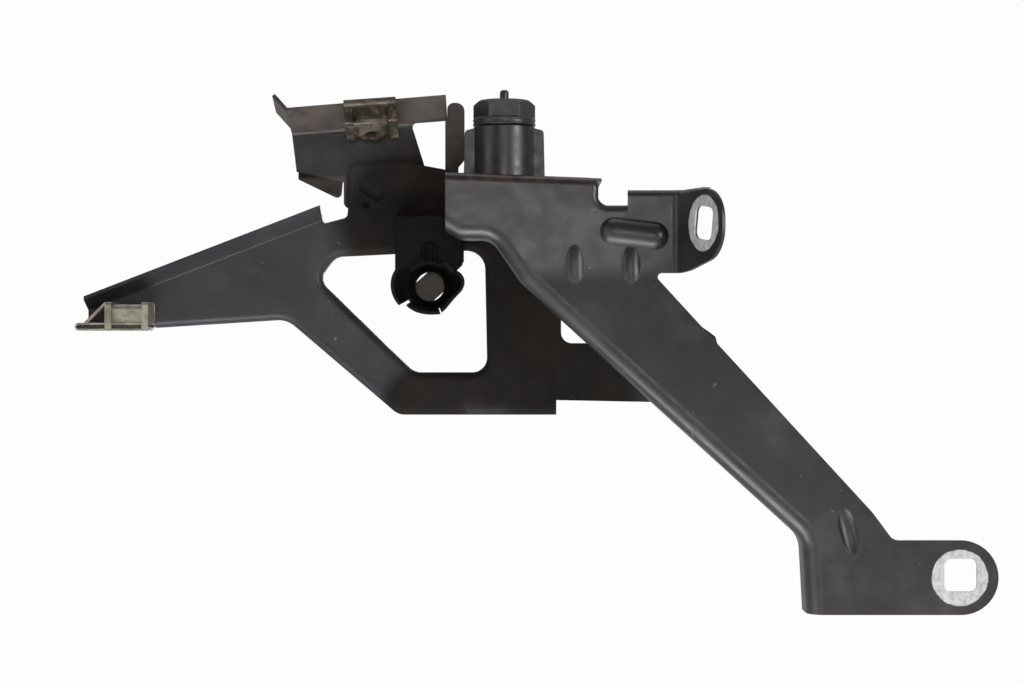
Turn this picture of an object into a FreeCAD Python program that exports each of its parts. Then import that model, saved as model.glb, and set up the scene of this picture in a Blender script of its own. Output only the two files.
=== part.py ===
import FreeCAD, Part
import math
import os

# Fender bracket: three spot-welded steel pressings, a screw-adjusted bonnet stop,
# two spring-steel nut clips and a moulded locating socket.
# Millimetres. Origin: centre of the foot's hole on the foot's front face.
# +X along the bracket towards the foot's end, +Y away from the viewer, +Z up.

# Sheet metal common to the three pressings
SHEET = 1.6
HOLE_SIDE = 14.5
HOLE_CORNER = 3.2
FLANGE_DEPTH = 18.0
ARM_ROLL = 7.0
SHELF_ROLL = 4.0
BEND = 60.0
OVERRUN = 5.0

# Foot
FOOT_TOP = 15.3
FOOT_BOTTOM = -17.4
FOOT_END = 16.6
FOOT_LEFT = -66.9
FOOT_SPLAY = 1.8
FOOT_KNEE = 12.0
FOOT_NOTCH = 5.0
FOOT_NOTCH_X = 8.9
FOOT_ROUND = 16.4

# Upper plate, placed by its top left corner
PLATE_REACH = 226.9
PLATE_TOP = 179.0
PLATE_SETBACK = 20.0
PLATE_WIDTH = 101.5
SHELF_WIDTH = 70.6
SHELF_FALL = 2.2
PLATE_LIP_DROP = 26.4
PLATE_LIP_FLARE = 3.9
EAR_ROOT_DROP = 45.7
NOTCH_WIDTH = 11.4
NOTCH_DROP = 14.4
NOTCH_SHIFT = 1.8
NOTCH_ROUND = 4.0
SHELF_ROUND = 6.0
THROAT_LEFT = 6.4
THROAT_RIGHT = 20.9
THROAT_ROUND = 9.0

# Arm between foot and plate
FOOT_BEND_Z = 21.2
PLATE_BEND_DROP = 44.5
ARM_SHOULDER_X = 33.9
ARM_SHOULDER_DROP = 49.7
ARM_HIP_X = -38.5
ARM_HIP_Z = 27.5
ARM_HIP_ROUND = 25.0
ARM_SHOULDER_ROUND = 20.0
ARM_CROTCH = 8.3

# Ear
EAR_ANGLE = 64.0
EAR_BEND = 4.0
EAR_REACH = 20.2
EAR_HOLE_DROP = 24.4
EAR_RADIUS = 15.5
EAR_ROUND = 14.5
EAR_TAPER = 1.5
EAR_CHIN = 8.0
EAR_CHIN_RISE = 0.8
EAR_CHIN_ROUND = 10.0
EAR_HOLE_TURN = 9.0
EAR_NECK = 15.0
EAR_LIP_TOP = 8.2
EAR_LIP_ROLL = 3.2
EAR_LIP_DEPTH = 7.0

# Bead beside the ear, the two gussets of the upper bend and the dart of the lower one
BEAD_RADIUS = 7.0
BEAD_HEIGHT = 4.0
BEAD_LENGTH = 18.0
BEAD_DROP = 27.0
BEAD_FALL = 6.5
BEAD_END = 7.5
GUSSET_WHEEL = 24.0
GUSSET_RADIUS = 6.0
GUSSET_PROUD = 1.9
GUSSET_NEAR = 58.3
GUSSET_PITCH = 25.3
DART_WHEEL = 27.0
DART_RADIUS = 4.5
DART_SINK = 2.6
DART_X = -49.6
DART_LEAN = 14.0

# Shelf and the bonnet stop on it
SHELF_WELD = 12.0
STOP_X = 26.5
STOP_DEPTH = 22.0
STOP_DRUM_R = 14.3
STOP_DRUM_H = 23.6
STOP_DRUM_EDGE = 0.8
STOP_WING = 3.8
STOP_WING_WIDTH = 9.0
STOP_WING_SPLAY = 0.6
STOP_SHANK_R = 12.0
STOP_SHANK_H = 9.0
STOP_BORE_R = 10.0
STOP_LUG = 2.6
STOP_LUG_WIDTH = 7.0
STOP_GATE_WIDTH = 8.0
STOP_LUG_H = 2.4
THREAD_PLAY = 0.08
COLLAR_H = 3.8
COLLAR_R = 14.2
COLLAR_EDGE = 1.2
HEX_FLATS = 24.8
HEX_H = 7.8
HEX_EDGE = 0.6
HEX_CHAMFER = 2.6
HEX_CHAMFER_OUT = 0.4
ADJUSTER_SHANK_H = 24.0
STEM_R = 2.05
STEM_NIB = 5.2
STEM_DOME = 1.4
STEM_FOOT_H = 3.0
KEY_WIDTH = 3.0
KEY_HEIGHT = 1.2
SEAT_GAP = 0.2
MOVE_GAP = 0.3

# Rear panel
PANEL_GAP = 40.0
PANEL_ROLL = 4.0
PANEL_DEPTH = 8.0
PANEL_HEIGHT = 111.0
PANEL_KNEE = 23.6
PANEL_KNEE_ROUND = 8.0
PANEL_ELBOW = 76.2
PANEL_ELBOW_ROUND = 12.0
LEFT_ARM = 169.1
TIP_DROP = 70.0
ARM_CLIMB = 3.9
TIP_BEND = 1.5
LIP_SLOPE = 21.1
LIP_REACH = 10.0
LIP_RISE = 4.6
LIP_BEND = 2.5
LIP_GAP = 13.5
LIP_DROP = 19.3
TAB_LEFT = 45.6
TAB_TOP = 8.7
TAB_STEP = 6.0
TAB_RISE = 4.2
TAB_CREST = 20.0
TAB_CREST_FALL = 0.8
TAB_CREST_ROUND = 12.0
TAB_SHOULDER = 2.6
TAB_ROUND = 3.0
TAB_HEEL = 1.8
TAB_HEEL_RISE = 1.2
TAB_HEEL_ROUND = 2.5
LIP_END_DROP = 1.6
WING_START = 50.9
WING_STEP = 7.0
WING_HEIGHT = 52.0
WING_ANGLE = 33.0
WING_TAB = 22.0
WING_TAB_ROUND = 3.0
WING_HOLE_IN = 2.2
WING_HOLE_OUT = 24.0
WING_HOLE_LOW = 26.8
WING_HOLE_HIGH = 44.0
WING_HOLE_CORNER = 5.0
WINDOW_LEFT = 61.1
WINDOW_RIGHT = 18.4
WINDOW_TOP = 34.6
WINDOW_BOTTOM = 91.0
WINDOW_FLOOR = 34.5
WINDOW_ROUND = 7.0
WINDOW_LEAN = 1.2
WINDOW_RISE = 1.6
WINDOW_CUT = 7.8
WINDOW_CUT_FALL = 1.8
WINDOW_CUT_DROP = 12.4
SLOT_LENGTH = 13.0
SLOT_WIDTH = 6.5
SMALL_HOLE = 3.0
SLOT_LEFT = 35.8
SLOT_DROP = 5.4
SLOT_TURN = 32.0
SMALL_HOLE_LEFT = 40.0
SMALL_HOLE_DROP = 13.8

# Rail
RAIL_LENGTH = 73.4
RAIL_RISE = 23.2
RAIL_SLOPE = 4.7
RAIL_FLANGE = 20.0
RAIL_FLANGE_RISE = 8.0
RAIL_BEND = 4.0
RAIL_WALL = 37.0
RAIL_GAP = 0.4
RAIL_HEEL = 2.4
RAIL_HEEL_RISE = 3.5
RAIL_STEP = 24.6
RAIL_STEP_DROP = 1.5
RAIL_STEP_ROUND = 3.0
FLARE_LENGTH = 9.5
FLARE_ANGLE = 50.0
LEG_WIDTH = 8.1
LEG_HEIGHT = 45.0
LEG_TOP = 36.0
LEG_STEP = 2.9
LEG_STEP_LOW = 5.6
LEG_STEP_HIGH = 9.1
LEG_ROUND = 4.0
RAIL_WINDOW = 17.0
RAIL_WINDOW_FLOOR = 8.5
RAIL_WINDOW_TOP = 4.4
RAIL_WINDOW_FALL = 1.4
RAIL_WINDOW_ROUND = 3.0
TOE_LENGTH = 12.0
TOE_ANGLE = 45.0
TOE_TURN = 12.6
TOE_LEFT = 3.6
TOE_RIGHT = 24.0
TOE_CUT_TOP = 0.4
TOE_CUT_LOW = 10.4
TOE_ROUND = 2.0

# Nut clips
CLIP_SHEET = 0.9
CLIP_WIDTH = 16.0
HOOP_BEND = 0.7
PRONG_REACH = 9.6
PRONG_TIP = 8.2
BRACE_DROP = 1.3
TIP_TAB = 19.8
TIP_TAB_LENGTH = 31.0
TIP_SCREW_X = 22.0
TAB_LIFT = 1.2
CLIP_SEAT = 0.1
RAIL_CLIP_REACH = 8.2
STRAP_WIDTH = 3.1
STRAP_SPAN = 20.0
NUT_HEIGHT = 8.5
NUT_DEPTH = 15.0
NUT_ROUND = 2.6
SCREW_R = 2.6
SCREW_HOLE_R = 4.4
NUT_PLAY = 0.1
COLLAR_NUT_R = 5.2
COLLAR_NUT_H = 6.5
RAIL_CLIP_X = 26.6

# Locating socket
SOCKET_WIDTH = 31.2
SOCKET_X = 8.0
SOCKET_TOP = 17.0
SOCKET_HEIGHT = 27.0
SOCKET_BLOCK = 8.0
SOCKET_STEP = 3.6
SOCKET_STEP_RISE = 4.0
SOCKET_ROUND = 3.0
MOUTH_R = 15.5
THROAT_R = 8.4
SOCKET_WALL = 1.8
FUNNEL_LENGTH = 19.5
FUNNEL_YAW = 18.4
FUNNEL_PITCH = 17.0
SLIT = 3.0
SLIT_TURN = 38.0
SLIT_DROP = 5.0
FUNNEL_FLARE = 1.2
MOUTH_SHIFT = 1.8
MOUTH_DEPTH = 20.0
MOUTH_DROP = 32.0
LATCH_WIDTH = 6.0
LATCH_HEIGHT = 4.0
LATCH_DROP = 5.0

PLATE_LEFT = -PLATE_REACH
PANEL_FACE = PLATE_SETBACK + PANEL_GAP
RAIL_FACE = PANEL_FACE + SHEET
EAR_BEND_X = PLATE_LEFT + PLATE_WIDTH
PLATE_BEND_Z = PLATE_TOP - PLATE_BEND_DROP


def vec(x, y, z):
    return FreeCAD.Vector(x, y, z)


def front(depth):
    """Placing of outline points (x, z) in the upright plane at a depth."""
    return lambda u, w: vec(u, depth, w)


def side(x):
    """Placing of profile points (y, z) in the upright plane across the bracket."""
    return lambda u, w: vec(x, u, w)


def plan(z):
    """Placing of points (x, y) in the level plane at a height."""
    return lambda u, w: vec(u, w, z)


def area_of(corners):
    total = 0.0
    for i, corner in enumerate(corners):
        previous = corners[i - 1]
        total += previous[0] * corner[1] - corner[0] * previous[1]
    return total / 2


def rounded_face(corners, place):
    """Flat face whose outline has corners (u, w, radius)."""
    starts = []
    ends = []
    middles = []
    for i, (u, w, radius) in enumerate(corners):
        before = corners[i - 1]
        after = corners[(i + 1) % len(corners)]
        back = (before[0] - u, before[1] - w)
        ahead = (after[0] - u, after[1] - w)
        back_length = math.hypot(*back)
        ahead_length = math.hypot(*ahead)
        back = (back[0] / back_length, back[1] / back_length)
        ahead = (ahead[0] / ahead_length, ahead[1] / ahead_length)
        cosine = max(-1.0, min(1.0, back[0] * ahead[0] + back[1] * ahead[1]))
        half = math.acos(cosine) / 2
        run = min(radius / math.tan(half), 0.4999 * back_length, 0.4999 * ahead_length)
        starts.append((u + back[0] * run, w + back[1] * run))
        ends.append((u + ahead[0] * run, w + ahead[1] * run))
        bisector = (back[0] + ahead[0], back[1] + ahead[1])
        size = math.hypot(*bisector)
        if run < 1e-6 or size < 1e-6:
            middles.append(None)
            continue
        reach = run / math.cos(half) - run * math.tan(half)
        middles.append((u + bisector[0] / size * reach, w + bisector[1] / size * reach))
    edges = []
    for i in range(len(corners)):
        if middles[i] is not None:
            arc = Part.Arc(place(*starts[i]), place(*middles[i]), place(*ends[i]))
            edges.append(arc.toShape())
        following = starts[(i + 1) % len(corners)]
        if math.dist(ends[i], following) > 1e-6:
            edges.append(Part.LineSegment(place(*ends[i]), place(*following)).toShape())
    return Part.Face(Part.Wire(Part.__sortEdges__(edges)))


def prism(corners, place, sweep):
    return rounded_face(corners, place).extrude(sweep)


def moved_sides(corners, shifts):
    """The outline with each side moved outwards by its own distance, radii to match."""
    turn = 1.0 if area_of(corners) > 0 else -1.0
    lines = []
    for i, corner in enumerate(corners):
        after = corners[(i + 1) % len(corners)]
        du = after[0] - corner[0]
        dw = after[1] - corner[1]
        length = math.hypot(du, dw)
        outward = (turn * dw / length, -turn * du / length)
        origin = (corner[0] + outward[0] * shifts[i], corner[1] + outward[1] * shifts[i])
        lines.append((origin, (du / length, dw / length)))
    moved = []
    for i, corner in enumerate(corners):
        (p, d) = lines[i - 1]
        (q, e) = lines[i]
        cross = d[0] * e[1] - d[1] * e[0]
        if abs(cross) < 1e-9:
            point = q
        else:
            along = ((q[0] - p[0]) * e[1] - (q[1] - p[1]) * e[0]) / cross
            point = (p[0] + d[0] * along, p[1] + d[1] * along)
        convex = turn * cross > 0
        growth = shifts[i] if shifts[i] == shifts[i - 1] else 0.0
        radius = corner[2] + (growth if convex else -growth)
        moved.append((point[0], point[1], max(radius, 0.0) if corner[2] > 0 else 0.0))
    return moved


def on_outline(face, point, slack=0.05):
    return face.OuterWire.distToShape(Part.Vertex(point))[0] < slack


def drilled_square(centre, axis, turn):
    """Rounded-square cutter through a sheet, its axis and turn about that axis given."""
    half = HOLE_SIDE / 2
    corners = [(-half, -half, HOLE_CORNER), (half, -half, HOLE_CORNER)]
    corners += [(half, half, HOLE_CORNER), (-half, half, HOLE_CORNER)]
    cutter = prism(corners, plan(-OVERRUN), vec(0, 0, OVERRUN * 2))
    cutter.rotate(vec(0, 0, 0), vec(0, 0, 1), turn)
    cutter.Placement = FreeCAD.Placement(centre, FreeCAD.Rotation(vec(0, 0, 1), axis)).multiply(
        cutter.Placement)
    return cutter


# Front arm

def shelf_drop(along):
    """Fall of the shelf's top line at a distance from the plate's left edge."""
    return along * math.tan(math.radians(SHELF_FALL))


def arm_band(skin, depth):
    """Room behind the arm's front skin, down to a depth, as a bar across the bracket."""
    low = FOOT_BOTTOM - OVERRUN * 2
    high = PLATE_TOP + OVERRUN * 2
    profile = [
        (0.0, low, 0.0),
        (0.0, FOOT_BEND_Z, BEND),
        (PLATE_SETBACK, PLATE_BEND_Z, BEND),
        (PLATE_SETBACK, high, 0.0),
        (PLATE_SETBACK + depth, high, 0.0),
        (PLATE_SETBACK + depth, PLATE_BEND_Z, BEND),
        (depth, FOOT_BEND_Z, BEND),
        (depth, low, 0.0),
    ]
    rear = OVERRUN if skin else 0.0
    profile = moved_sides(profile, [-skin, -skin, -skin, 0.0, rear, rear, rear, 0.0])
    left = PLATE_LEFT - OVERRUN * 4
    return prism(profile, side(left), vec(FOOT_END - left + OVERRUN * 4, 0, 0))


def arm_outline():
    """Front outline of foot, arm and plate: corners (x, z, radius), then if the side after is rolled."""
    shoulder_x = PLATE_LEFT + ARM_SHOULDER_X
    shoulder_z = PLATE_TOP - ARM_SHOULDER_DROP
    ear_root = PLATE_TOP - EAR_ROOT_DROP
    knee_z = FOOT_TOP
    knee_x = FOOT_LEFT - FOOT_SPLAY
    lip = PLATE_TOP - PLATE_LIP_DROP
    throat = lip - PLATE_LIP_FLARE
    notch = PLATE_TOP - NOTCH_DROP
    notch_left = PLATE_LEFT + SHELF_WIDTH - NOTCH_SHIFT
    crotch = EAR_BEND_X - ARM_CROTCH
    shelf_end = PLATE_TOP - shelf_drop(SHELF_WIDTH)
    return [
        ((FOOT_END, FOOT_BOTTOM, FOOT_ROUND), False),
        ((FOOT_END, FOOT_TOP, FOOT_ROUND), False),
        ((ARM_HIP_X + FOOT_NOTCH_X, FOOT_TOP, FOOT_NOTCH), False),
        ((ARM_HIP_X, ARM_HIP_Z, ARM_HIP_ROUND), False),
        ((crotch, ear_root, NOTCH_ROUND), False),
        ((EAR_BEND_X, ear_root, 0.0), False),
        ((EAR_BEND_X, notch, 0.0), False),
        ((notch_left, notch, NOTCH_ROUND), False),
        ((PLATE_LEFT + SHELF_WIDTH, shelf_end, SHELF_ROUND), True),
        ((PLATE_LEFT, PLATE_TOP, 0.0), False),
        ((PLATE_LEFT, lip, 0.0), True),
        ((PLATE_LEFT + THROAT_LEFT, throat, THROAT_ROUND + 1.0), True),
        ((PLATE_LEFT + THROAT_RIGHT, throat, THROAT_ROUND), True),
        ((shoulder_x, shoulder_z, ARM_SHOULDER_ROUND), True),
        ((knee_x, knee_z, FOOT_KNEE), True),
        ((FOOT_LEFT, FOOT_BOTTOM, 0.0), False),
    ]


def arm_form(skin):
    """The arm as a solid punch: its front skin, moved in by skin, with the rolled edges rounded."""
    sides = arm_outline()
    corners = [corner for corner, rolled in sides]
    cut = OVERRUN if skin else 0.0
    shifts = [-skin if rolled else cut for corner, rolled in sides]
    outline = moved_sides(corners, shifts)
    span = PLATE_SETBACK + FLANGE_DEPTH + OVERRUN * 8
    body = prism(outline, front(-OVERRUN * 4), vec(0, span, 0)).common(arm_band(skin, FLANGE_DEPTH))
    rim = rounded_face(outline, front(0))
    groups = {ARM_ROLL: [], SHELF_ROLL: []}
    slope = PLATE_SETBACK / (PLATE_BEND_Z - FOOT_BEND_Z)
    for edge in body.Edges:
        middle = edge.valueAt((edge.FirstParameter + edge.LastParameter) / 2)
        tangent = edge.tangentAt((edge.FirstParameter + edge.LastParameter) / 2)
        skin_y = max(0.0, min(PLATE_SETBACK, (middle.z - FOOT_BEND_Z) * slope)) + skin
        near_skin = middle.y < skin_y + FLANGE_DEPTH / 2
        if abs(tangent.y) > 0.9 or not near_skin:
            continue
        if not on_outline(rim, vec(middle.x, 0, middle.z)):
            continue
        top = PLATE_TOP - skin - shelf_drop(middle.x - PLATE_LEFT)
        if abs(middle.z - top) < 1.0 and middle.x < PLATE_LEFT + SHELF_WIDTH:
            groups[SHELF_ROLL].append(edge)
        elif is_rolled_side(middle, skin):
            groups[ARM_ROLL].append(edge)
    for radius, edges in groups.items():
        body = refilleted(body, edges, radius - skin)
    return body


def is_rolled_side(point, skin):
    """Whether a point of the rim belongs to the long rolled edge at lower left."""
    left_of_foot = point.x < FOOT_LEFT + skin + 0.5 and point.z < FOOT_TOP
    arm_line = (PLATE_TOP - ARM_SHOULDER_DROP - FOOT_TOP) / (
        PLATE_LEFT + ARM_SHOULDER_X - FOOT_LEFT + FOOT_SPLAY)
    limit = FOOT_TOP + arm_line * (point.x - FOOT_LEFT)
    below_arm = point.x < FOOT_LEFT and point.z < limit + OVERRUN * 3
    inside = point.x > PLATE_LEFT + 0.01 and point.z > FOOT_BOTTOM + 0.01
    return inside and (left_of_foot or below_arm)


def refilleted(body, edges, radius):
    """Round edges that are looked up again by their middle points, after earlier rounding."""
    points = []
    for edge in edges:
        points.append(edge.valueAt((edge.FirstParameter + edge.LastParameter) / 2))
    chosen = []
    for edge in body.Edges:
        middle = edge.valueAt((edge.FirstParameter + edge.LastParameter) / 2)
        if any(middle.distanceToPoint(point) < 0.01 for point in points):
            chosen.append(edge)
    return body.makeFillet(radius, chosen)


def shelf():
    """Shelf from the plate's top edge back to the rear panel, with its weld flange turned down."""
    start = PLATE_SETBACK + SHELF_ROLL + 1.0
    section = [
        (start, PLATE_TOP, 0.0),
        (PANEL_FACE, PLATE_TOP, SHELF_ROLL),
        (PANEL_FACE, PLATE_TOP - SHELF_WELD, 0.0),
        (PANEL_FACE - SHEET, PLATE_TOP - SHELF_WELD, 0.0),
        (PANEL_FACE - SHEET, PLATE_TOP - SHEET, SHELF_ROLL - SHEET),
        (start, PLATE_TOP - SHEET, 0.0),
    ]
    run = vec(SHELF_WIDTH, 0, -shelf_drop(SHELF_WIDTH))
    return prism(section, side(PLATE_LEFT), run)


def stop_seat():
    """Cutter for the stop's hole in the shelf, with the two gates its lugs enter by."""
    centre = stop_centre()
    hole = Part.makeCylinder(STOP_SHANK_R + SEAT_GAP, OVERRUN * 4, centre - vec(0, 0, OVERRUN * 2))
    reach = STOP_SHANK_R + STOP_LUG + 2 * SEAT_GAP
    gate = Part.makeBox(STOP_GATE_WIDTH, 2 * reach, OVERRUN * 4)
    gate.translate(centre - vec(STOP_GATE_WIDTH / 2, reach, OVERRUN * 2))
    return hole.fuse(gate)


def stop_centre():
    """Point where the stop's axis crosses the shelf's top face."""
    return vec(PLATE_LEFT + STOP_X, PLATE_SETBACK + STOP_DEPTH, PLATE_TOP - shelf_drop(STOP_X))


def ear_section(height):
    """Cross-section of the strip that becomes the ear: web, rolled top and short flange."""
    root = PLATE_TOP - EAR_ROOT_DROP
    top = PLATE_TOP - EAR_LIP_TOP
    y = PLATE_SETBACK
    return [
        (y, root + height, 0.0),
        (y, top, EAR_LIP_ROLL),
        (y + EAR_LIP_DEPTH, top, 0.0),
        (y + EAR_LIP_DEPTH, top - SHEET, 0.0),
        (y + SHEET, top - SHEET, EAR_LIP_ROLL - SHEET),
        (y + SHEET, root + height, 0.0),
    ]


def ear_turn(shape):
    """Turn a shape that continues the plate beyond the bend onto the ear's own plane."""
    shape.rotate(vec(EAR_BEND_X, PLATE_SETBACK - EAR_BEND, 0), vec(0, 0, 1), -EAR_ANGLE)
    return shape


def ear():
    """Strip beside the notch, its upright bend and the ear with the second hole."""
    root = PLATE_TOP - EAR_ROOT_DROP
    strip_start = PLATE_LEFT + SHELF_WIDTH + NOTCH_WIDTH
    strip = prism(ear_section(0.0), side(strip_start), vec(EAR_BEND_X - strip_start, 0, 0))
    bend_face = rounded_face(ear_section(0.0), side(EAR_BEND_X))
    bend_axis = vec(EAR_BEND_X, PLATE_SETBACK - EAR_BEND, 0)
    bend = bend_face.revolve(bend_axis, vec(0, 0, 1), -EAR_ANGLE)
    neck = ear_turn(prism(ear_section(OVERRUN), side(EAR_BEND_X), vec(EAR_NECK, 0, 0)))
    hole_x = EAR_BEND_X + EAR_REACH
    hole_z = PLATE_TOP - EAR_HOLE_DROP
    lobe = [
        (EAR_BEND_X, root, 0.0),
        (EAR_BEND_X + EAR_CHIN, root + EAR_CHIN_RISE, EAR_CHIN_ROUND),
        (hole_x + EAR_RADIUS, hole_z - EAR_RADIUS + EAR_TAPER, EAR_ROUND),
        (hole_x + EAR_RADIUS, hole_z + EAR_RADIUS, EAR_ROUND),
        (EAR_BEND_X, hole_z + EAR_RADIUS - EAR_TAPER, 0.0),
    ]
    plate = prism(lobe, front(PLATE_SETBACK), vec(0, SHEET, 0))
    hole = drilled_square(vec(hole_x, PLATE_SETBACK, hole_z), vec(0, 1, 0), EAR_HOLE_TURN)
    plate = ear_turn(plate.cut(hole))
    whole = strip.fuse([bend, neck, plate]).removeSplitter()
    hole = ear_turn(hole)
    return whole.cut(hole)


def bead_bar(shrink):
    """Bead beside the ear as a round bar with ball ends, shrunk for its hollow."""
    radius = BEAD_RADIUS - shrink
    y = PLATE_SETBACK + BEAD_RADIUS - BEAD_HEIGHT
    fall = BEAD_LENGTH * math.tan(math.radians(BEAD_FALL))
    right = vec(EAR_BEND_X - BEAD_END, y, PLATE_TOP - BEAD_DROP - fall)
    left = vec(right.x - BEAD_LENGTH, y, PLATE_TOP - BEAD_DROP)
    along = right - left
    bar = Part.makeCylinder(radius, along.Length, left, along)
    balls = [Part.makeSphere(radius, left), Part.makeSphere(radius, right)]
    return bar.fuse(balls)


def wheel(ring, radius, centre, axis):
    return Part.makeTorus(ring, radius, centre, axis)


def with_bead(arm):
    front_room = Part.makeBox(PLATE_WIDTH, PLATE_SETBACK + SHEET / 2, PLATE_TOP)
    front_room.translate(vec(PLATE_LEFT, 0, 0))
    raised = bead_bar(0.0).common(front_room)
    return arm.fuse(raised).cut(bead_bar(SHEET))


def with_gussets(arm):
    """Raise the two short ribs that stiffen the bend below the plate."""
    reach = GUSSET_WHEEL + GUSSET_RADIUS - GUSSET_PROUD
    room = Part.makeBox(PLATE_WIDTH, PLATE_SETBACK + SHEET, PLATE_TOP)
    room.translate(vec(PLATE_LEFT, 0, 0))
    room = room.cut(arm_band(SHEET / 2, FLANGE_DEPTH))
    for x in (PLATE_LEFT + GUSSET_NEAR, PLATE_LEFT + GUSSET_NEAR + GUSSET_PITCH):
        centre = vec(x, PLATE_SETBACK + reach, PLATE_BEND_Z + 1.0)
        raised = wheel(GUSSET_WHEEL, GUSSET_RADIUS, centre, vec(1, 0, 0)).common(room)
        arm = arm.fuse(raised).cut(wheel(GUSSET_WHEEL, GUSSET_RADIUS - SHEET, centre, vec(1, 0, 0)))
    return arm


def with_dart(arm):
    """Press the dart into the bend above the foot."""
    reach = DART_WHEEL + DART_RADIUS - DART_SINK
    lean = math.radians(DART_LEAN)
    axis = vec(math.cos(lean), 0, math.sin(lean))
    centre = vec(DART_X, -reach, FOOT_BEND_Z)
    room = arm_band(SHEET / 2, FLANGE_DEPTH)
    sunk = wheel(DART_WHEEL, DART_RADIUS + SHEET, centre, axis).common(room)
    return arm.fuse(sunk).cut(wheel(DART_WHEEL, DART_RADIUS, centre, axis))


def front_arm():
    arm = arm_form(0.0).cut(arm_form(SHEET))
    arm = arm.fuse([shelf(), ear()]).removeSplitter().cut(stop_seat())
    arm = with_dart(with_gussets(with_bead(arm)))
    return arm.cut(drilled_square(vec(0, 0, 0), vec(0, 1, 0), 0.0))


# Rear panel

def segment_distance(point, start, end):
    """Distance of a point (x, z) from the straight side between two corners."""
    along = (end[0] - start[0], end[1] - start[1])
    length = math.hypot(*along)
    share = ((point[0] - start[0]) * along[0] + (point[1] - start[1]) * along[1]) / length ** 2
    share = max(0.0, min(1.0, share))
    return math.hypot(point[0] - start[0] - along[0] * share, point[1] - start[1] - along[1] * share)


def panel_form(sides, windows, skin):
    """Flat punch of a pressing at the panel's face: rolled rim on the flagged sides and windows."""
    corners = [corner for corner, rolled in sides]
    cut = OVERRUN if skin else 0.0
    outline = moved_sides(corners, [-skin if rolled else cut for corner, rolled in sides])
    face_y = PANEL_FACE + skin
    sweep = vec(0, PANEL_DEPTH + cut, 0)
    body = prism(outline, front(face_y), sweep)
    rolled_lines = []
    for i, (corner, rolled) in enumerate(sides):
        if rolled:
            rolled_lines.append((outline[i], outline[(i + 1) % len(outline)]))
    for window in windows:
        grown = moved_sides(window, [skin] * len(window))
        body = body.cut(prism(grown, front(face_y), sweep))
        for i, corner in enumerate(grown):
            rolled_lines.append((corner, grown[(i + 1) % len(grown)]))
    chosen = []
    for edge in body.Edges:
        middle = edge.valueAt((edge.FirstParameter + edge.LastParameter) / 2)
        if abs(middle.y - face_y) > 0.01 or middle.z < edges_low(outline):
            continue
        near = min(segment_distance((middle.x, middle.z), a, b) for a, b in rolled_lines)
        limit = 0.05 if edge.Curve.TypeId == "Part::GeomLine" else PANEL_ROLL
        if near < limit:
            chosen.append(edge)
    return body.makeFillet(PANEL_ROLL - skin, chosen)


def edges_low(outline):
    return min(corner[1] for corner in outline) - 1.0


def lip_start():
    """Right end of the left arm's lip: front x and height of its bend line."""
    return PLATE_LEFT - TAB_LEFT - LIP_GAP, PLATE_TOP - LIP_DROP


def lip_line(x):
    """Height of the lip's bend line over the left arm."""
    start_x, start_z = lip_start()
    return start_z - (start_x - x) * math.tan(math.radians(LIP_SLOPE))


def panel_sides():
    """Front outline of the rear panel right of the tip, counter-clockwise."""
    start_x = PLATE_LEFT - LEFT_ARM + TIP_TAB_LENGTH
    start_z = PLATE_TOP - TIP_DROP
    lip_x, lip_z = lip_start()
    tab_x = PLATE_LEFT - TAB_LEFT
    tab_top = PLATE_TOP + TAB_TOP
    wing_x = PLATE_LEFT + WING_START
    bottom = PLATE_TOP - PANEL_HEIGHT
    return [
        ((start_x, start_z, 0.0), True),
        ((PLATE_LEFT - PANEL_ELBOW, start_z + ARM_CLIMB, PANEL_ELBOW_ROUND), True),
        ((PLATE_LEFT - PANEL_KNEE, bottom, PANEL_KNEE_ROUND), True),
        ((wing_x, bottom, 0.0), False),
        ((wing_x, PLATE_TOP - SHEET * 2, 0.0), False),
        ((PLATE_LEFT + TAB_STEP, PLATE_TOP - SHEET * 2, 0.0), False),
        ((PLATE_LEFT, PLATE_TOP + TAB_RISE, TAB_STEP), False),
        ((PLATE_LEFT - TAB_CREST, tab_top - TAB_CREST_FALL, TAB_CREST_ROUND), False),
        ((tab_x, tab_top - TAB_SHOULDER, TAB_ROUND), False),
        ((tab_x - TAB_HEEL, lip_z + TAB_HEEL_RISE, TAB_HEEL_ROUND), False),
        ((lip_x + 1.0, lip_z - LIP_END_DROP, 1.0), False),
        ((lip_x, lip_z, 0.0), False),
        ((start_x, lip_line(start_x), 0.0), False),
    ]


def big_window():
    left = PLATE_LEFT - WINDOW_LEFT
    right = PLATE_LEFT + WINDOW_RIGHT
    top = PLATE_TOP - WINDOW_TOP
    bottom = PLATE_TOP - WINDOW_BOTTOM
    return [
        (right - WINDOW_FLOOR, bottom, WINDOW_ROUND + 1.0),
        (right, bottom, WINDOW_ROUND),
        (right - WINDOW_LEAN, top + WINDOW_RISE, WINDOW_ROUND + 2.0),
        (left + WINDOW_CUT, top - WINDOW_CUT_FALL, WINDOW_ROUND),
        (left, top - WINDOW_CUT_DROP, WINDOW_ROUND - 1.0),
    ]


def left_lip():
    """Stiffening lip along the left arm, leaning towards the viewer and up."""
    lip_x, lip_z = lip_start()
    tip_x = PLATE_LEFT - LEFT_ARM
    slope = LIP_RISE / LIP_REACH
    thick = SHEET * math.hypot(1.0, slope)
    start = lip_line(tip_x)
    section = [
        (PANEL_FACE, start - SHEET, 0.0),
        (PANEL_FACE, start, LIP_BEND),
        (PANEL_FACE - LIP_REACH, start + LIP_RISE, 0.0),
        (PANEL_FACE - LIP_REACH, start + LIP_RISE + thick, 0.0),
        (PANEL_FACE + SHEET, start + thick - SHEET * slope, LIP_BEND + SHEET),
        (PANEL_FACE + SHEET, start - SHEET, 0.0),
    ]
    return prism(section, side(tip_x), vec(lip_x - tip_x, 0, lip_z - start))


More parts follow.
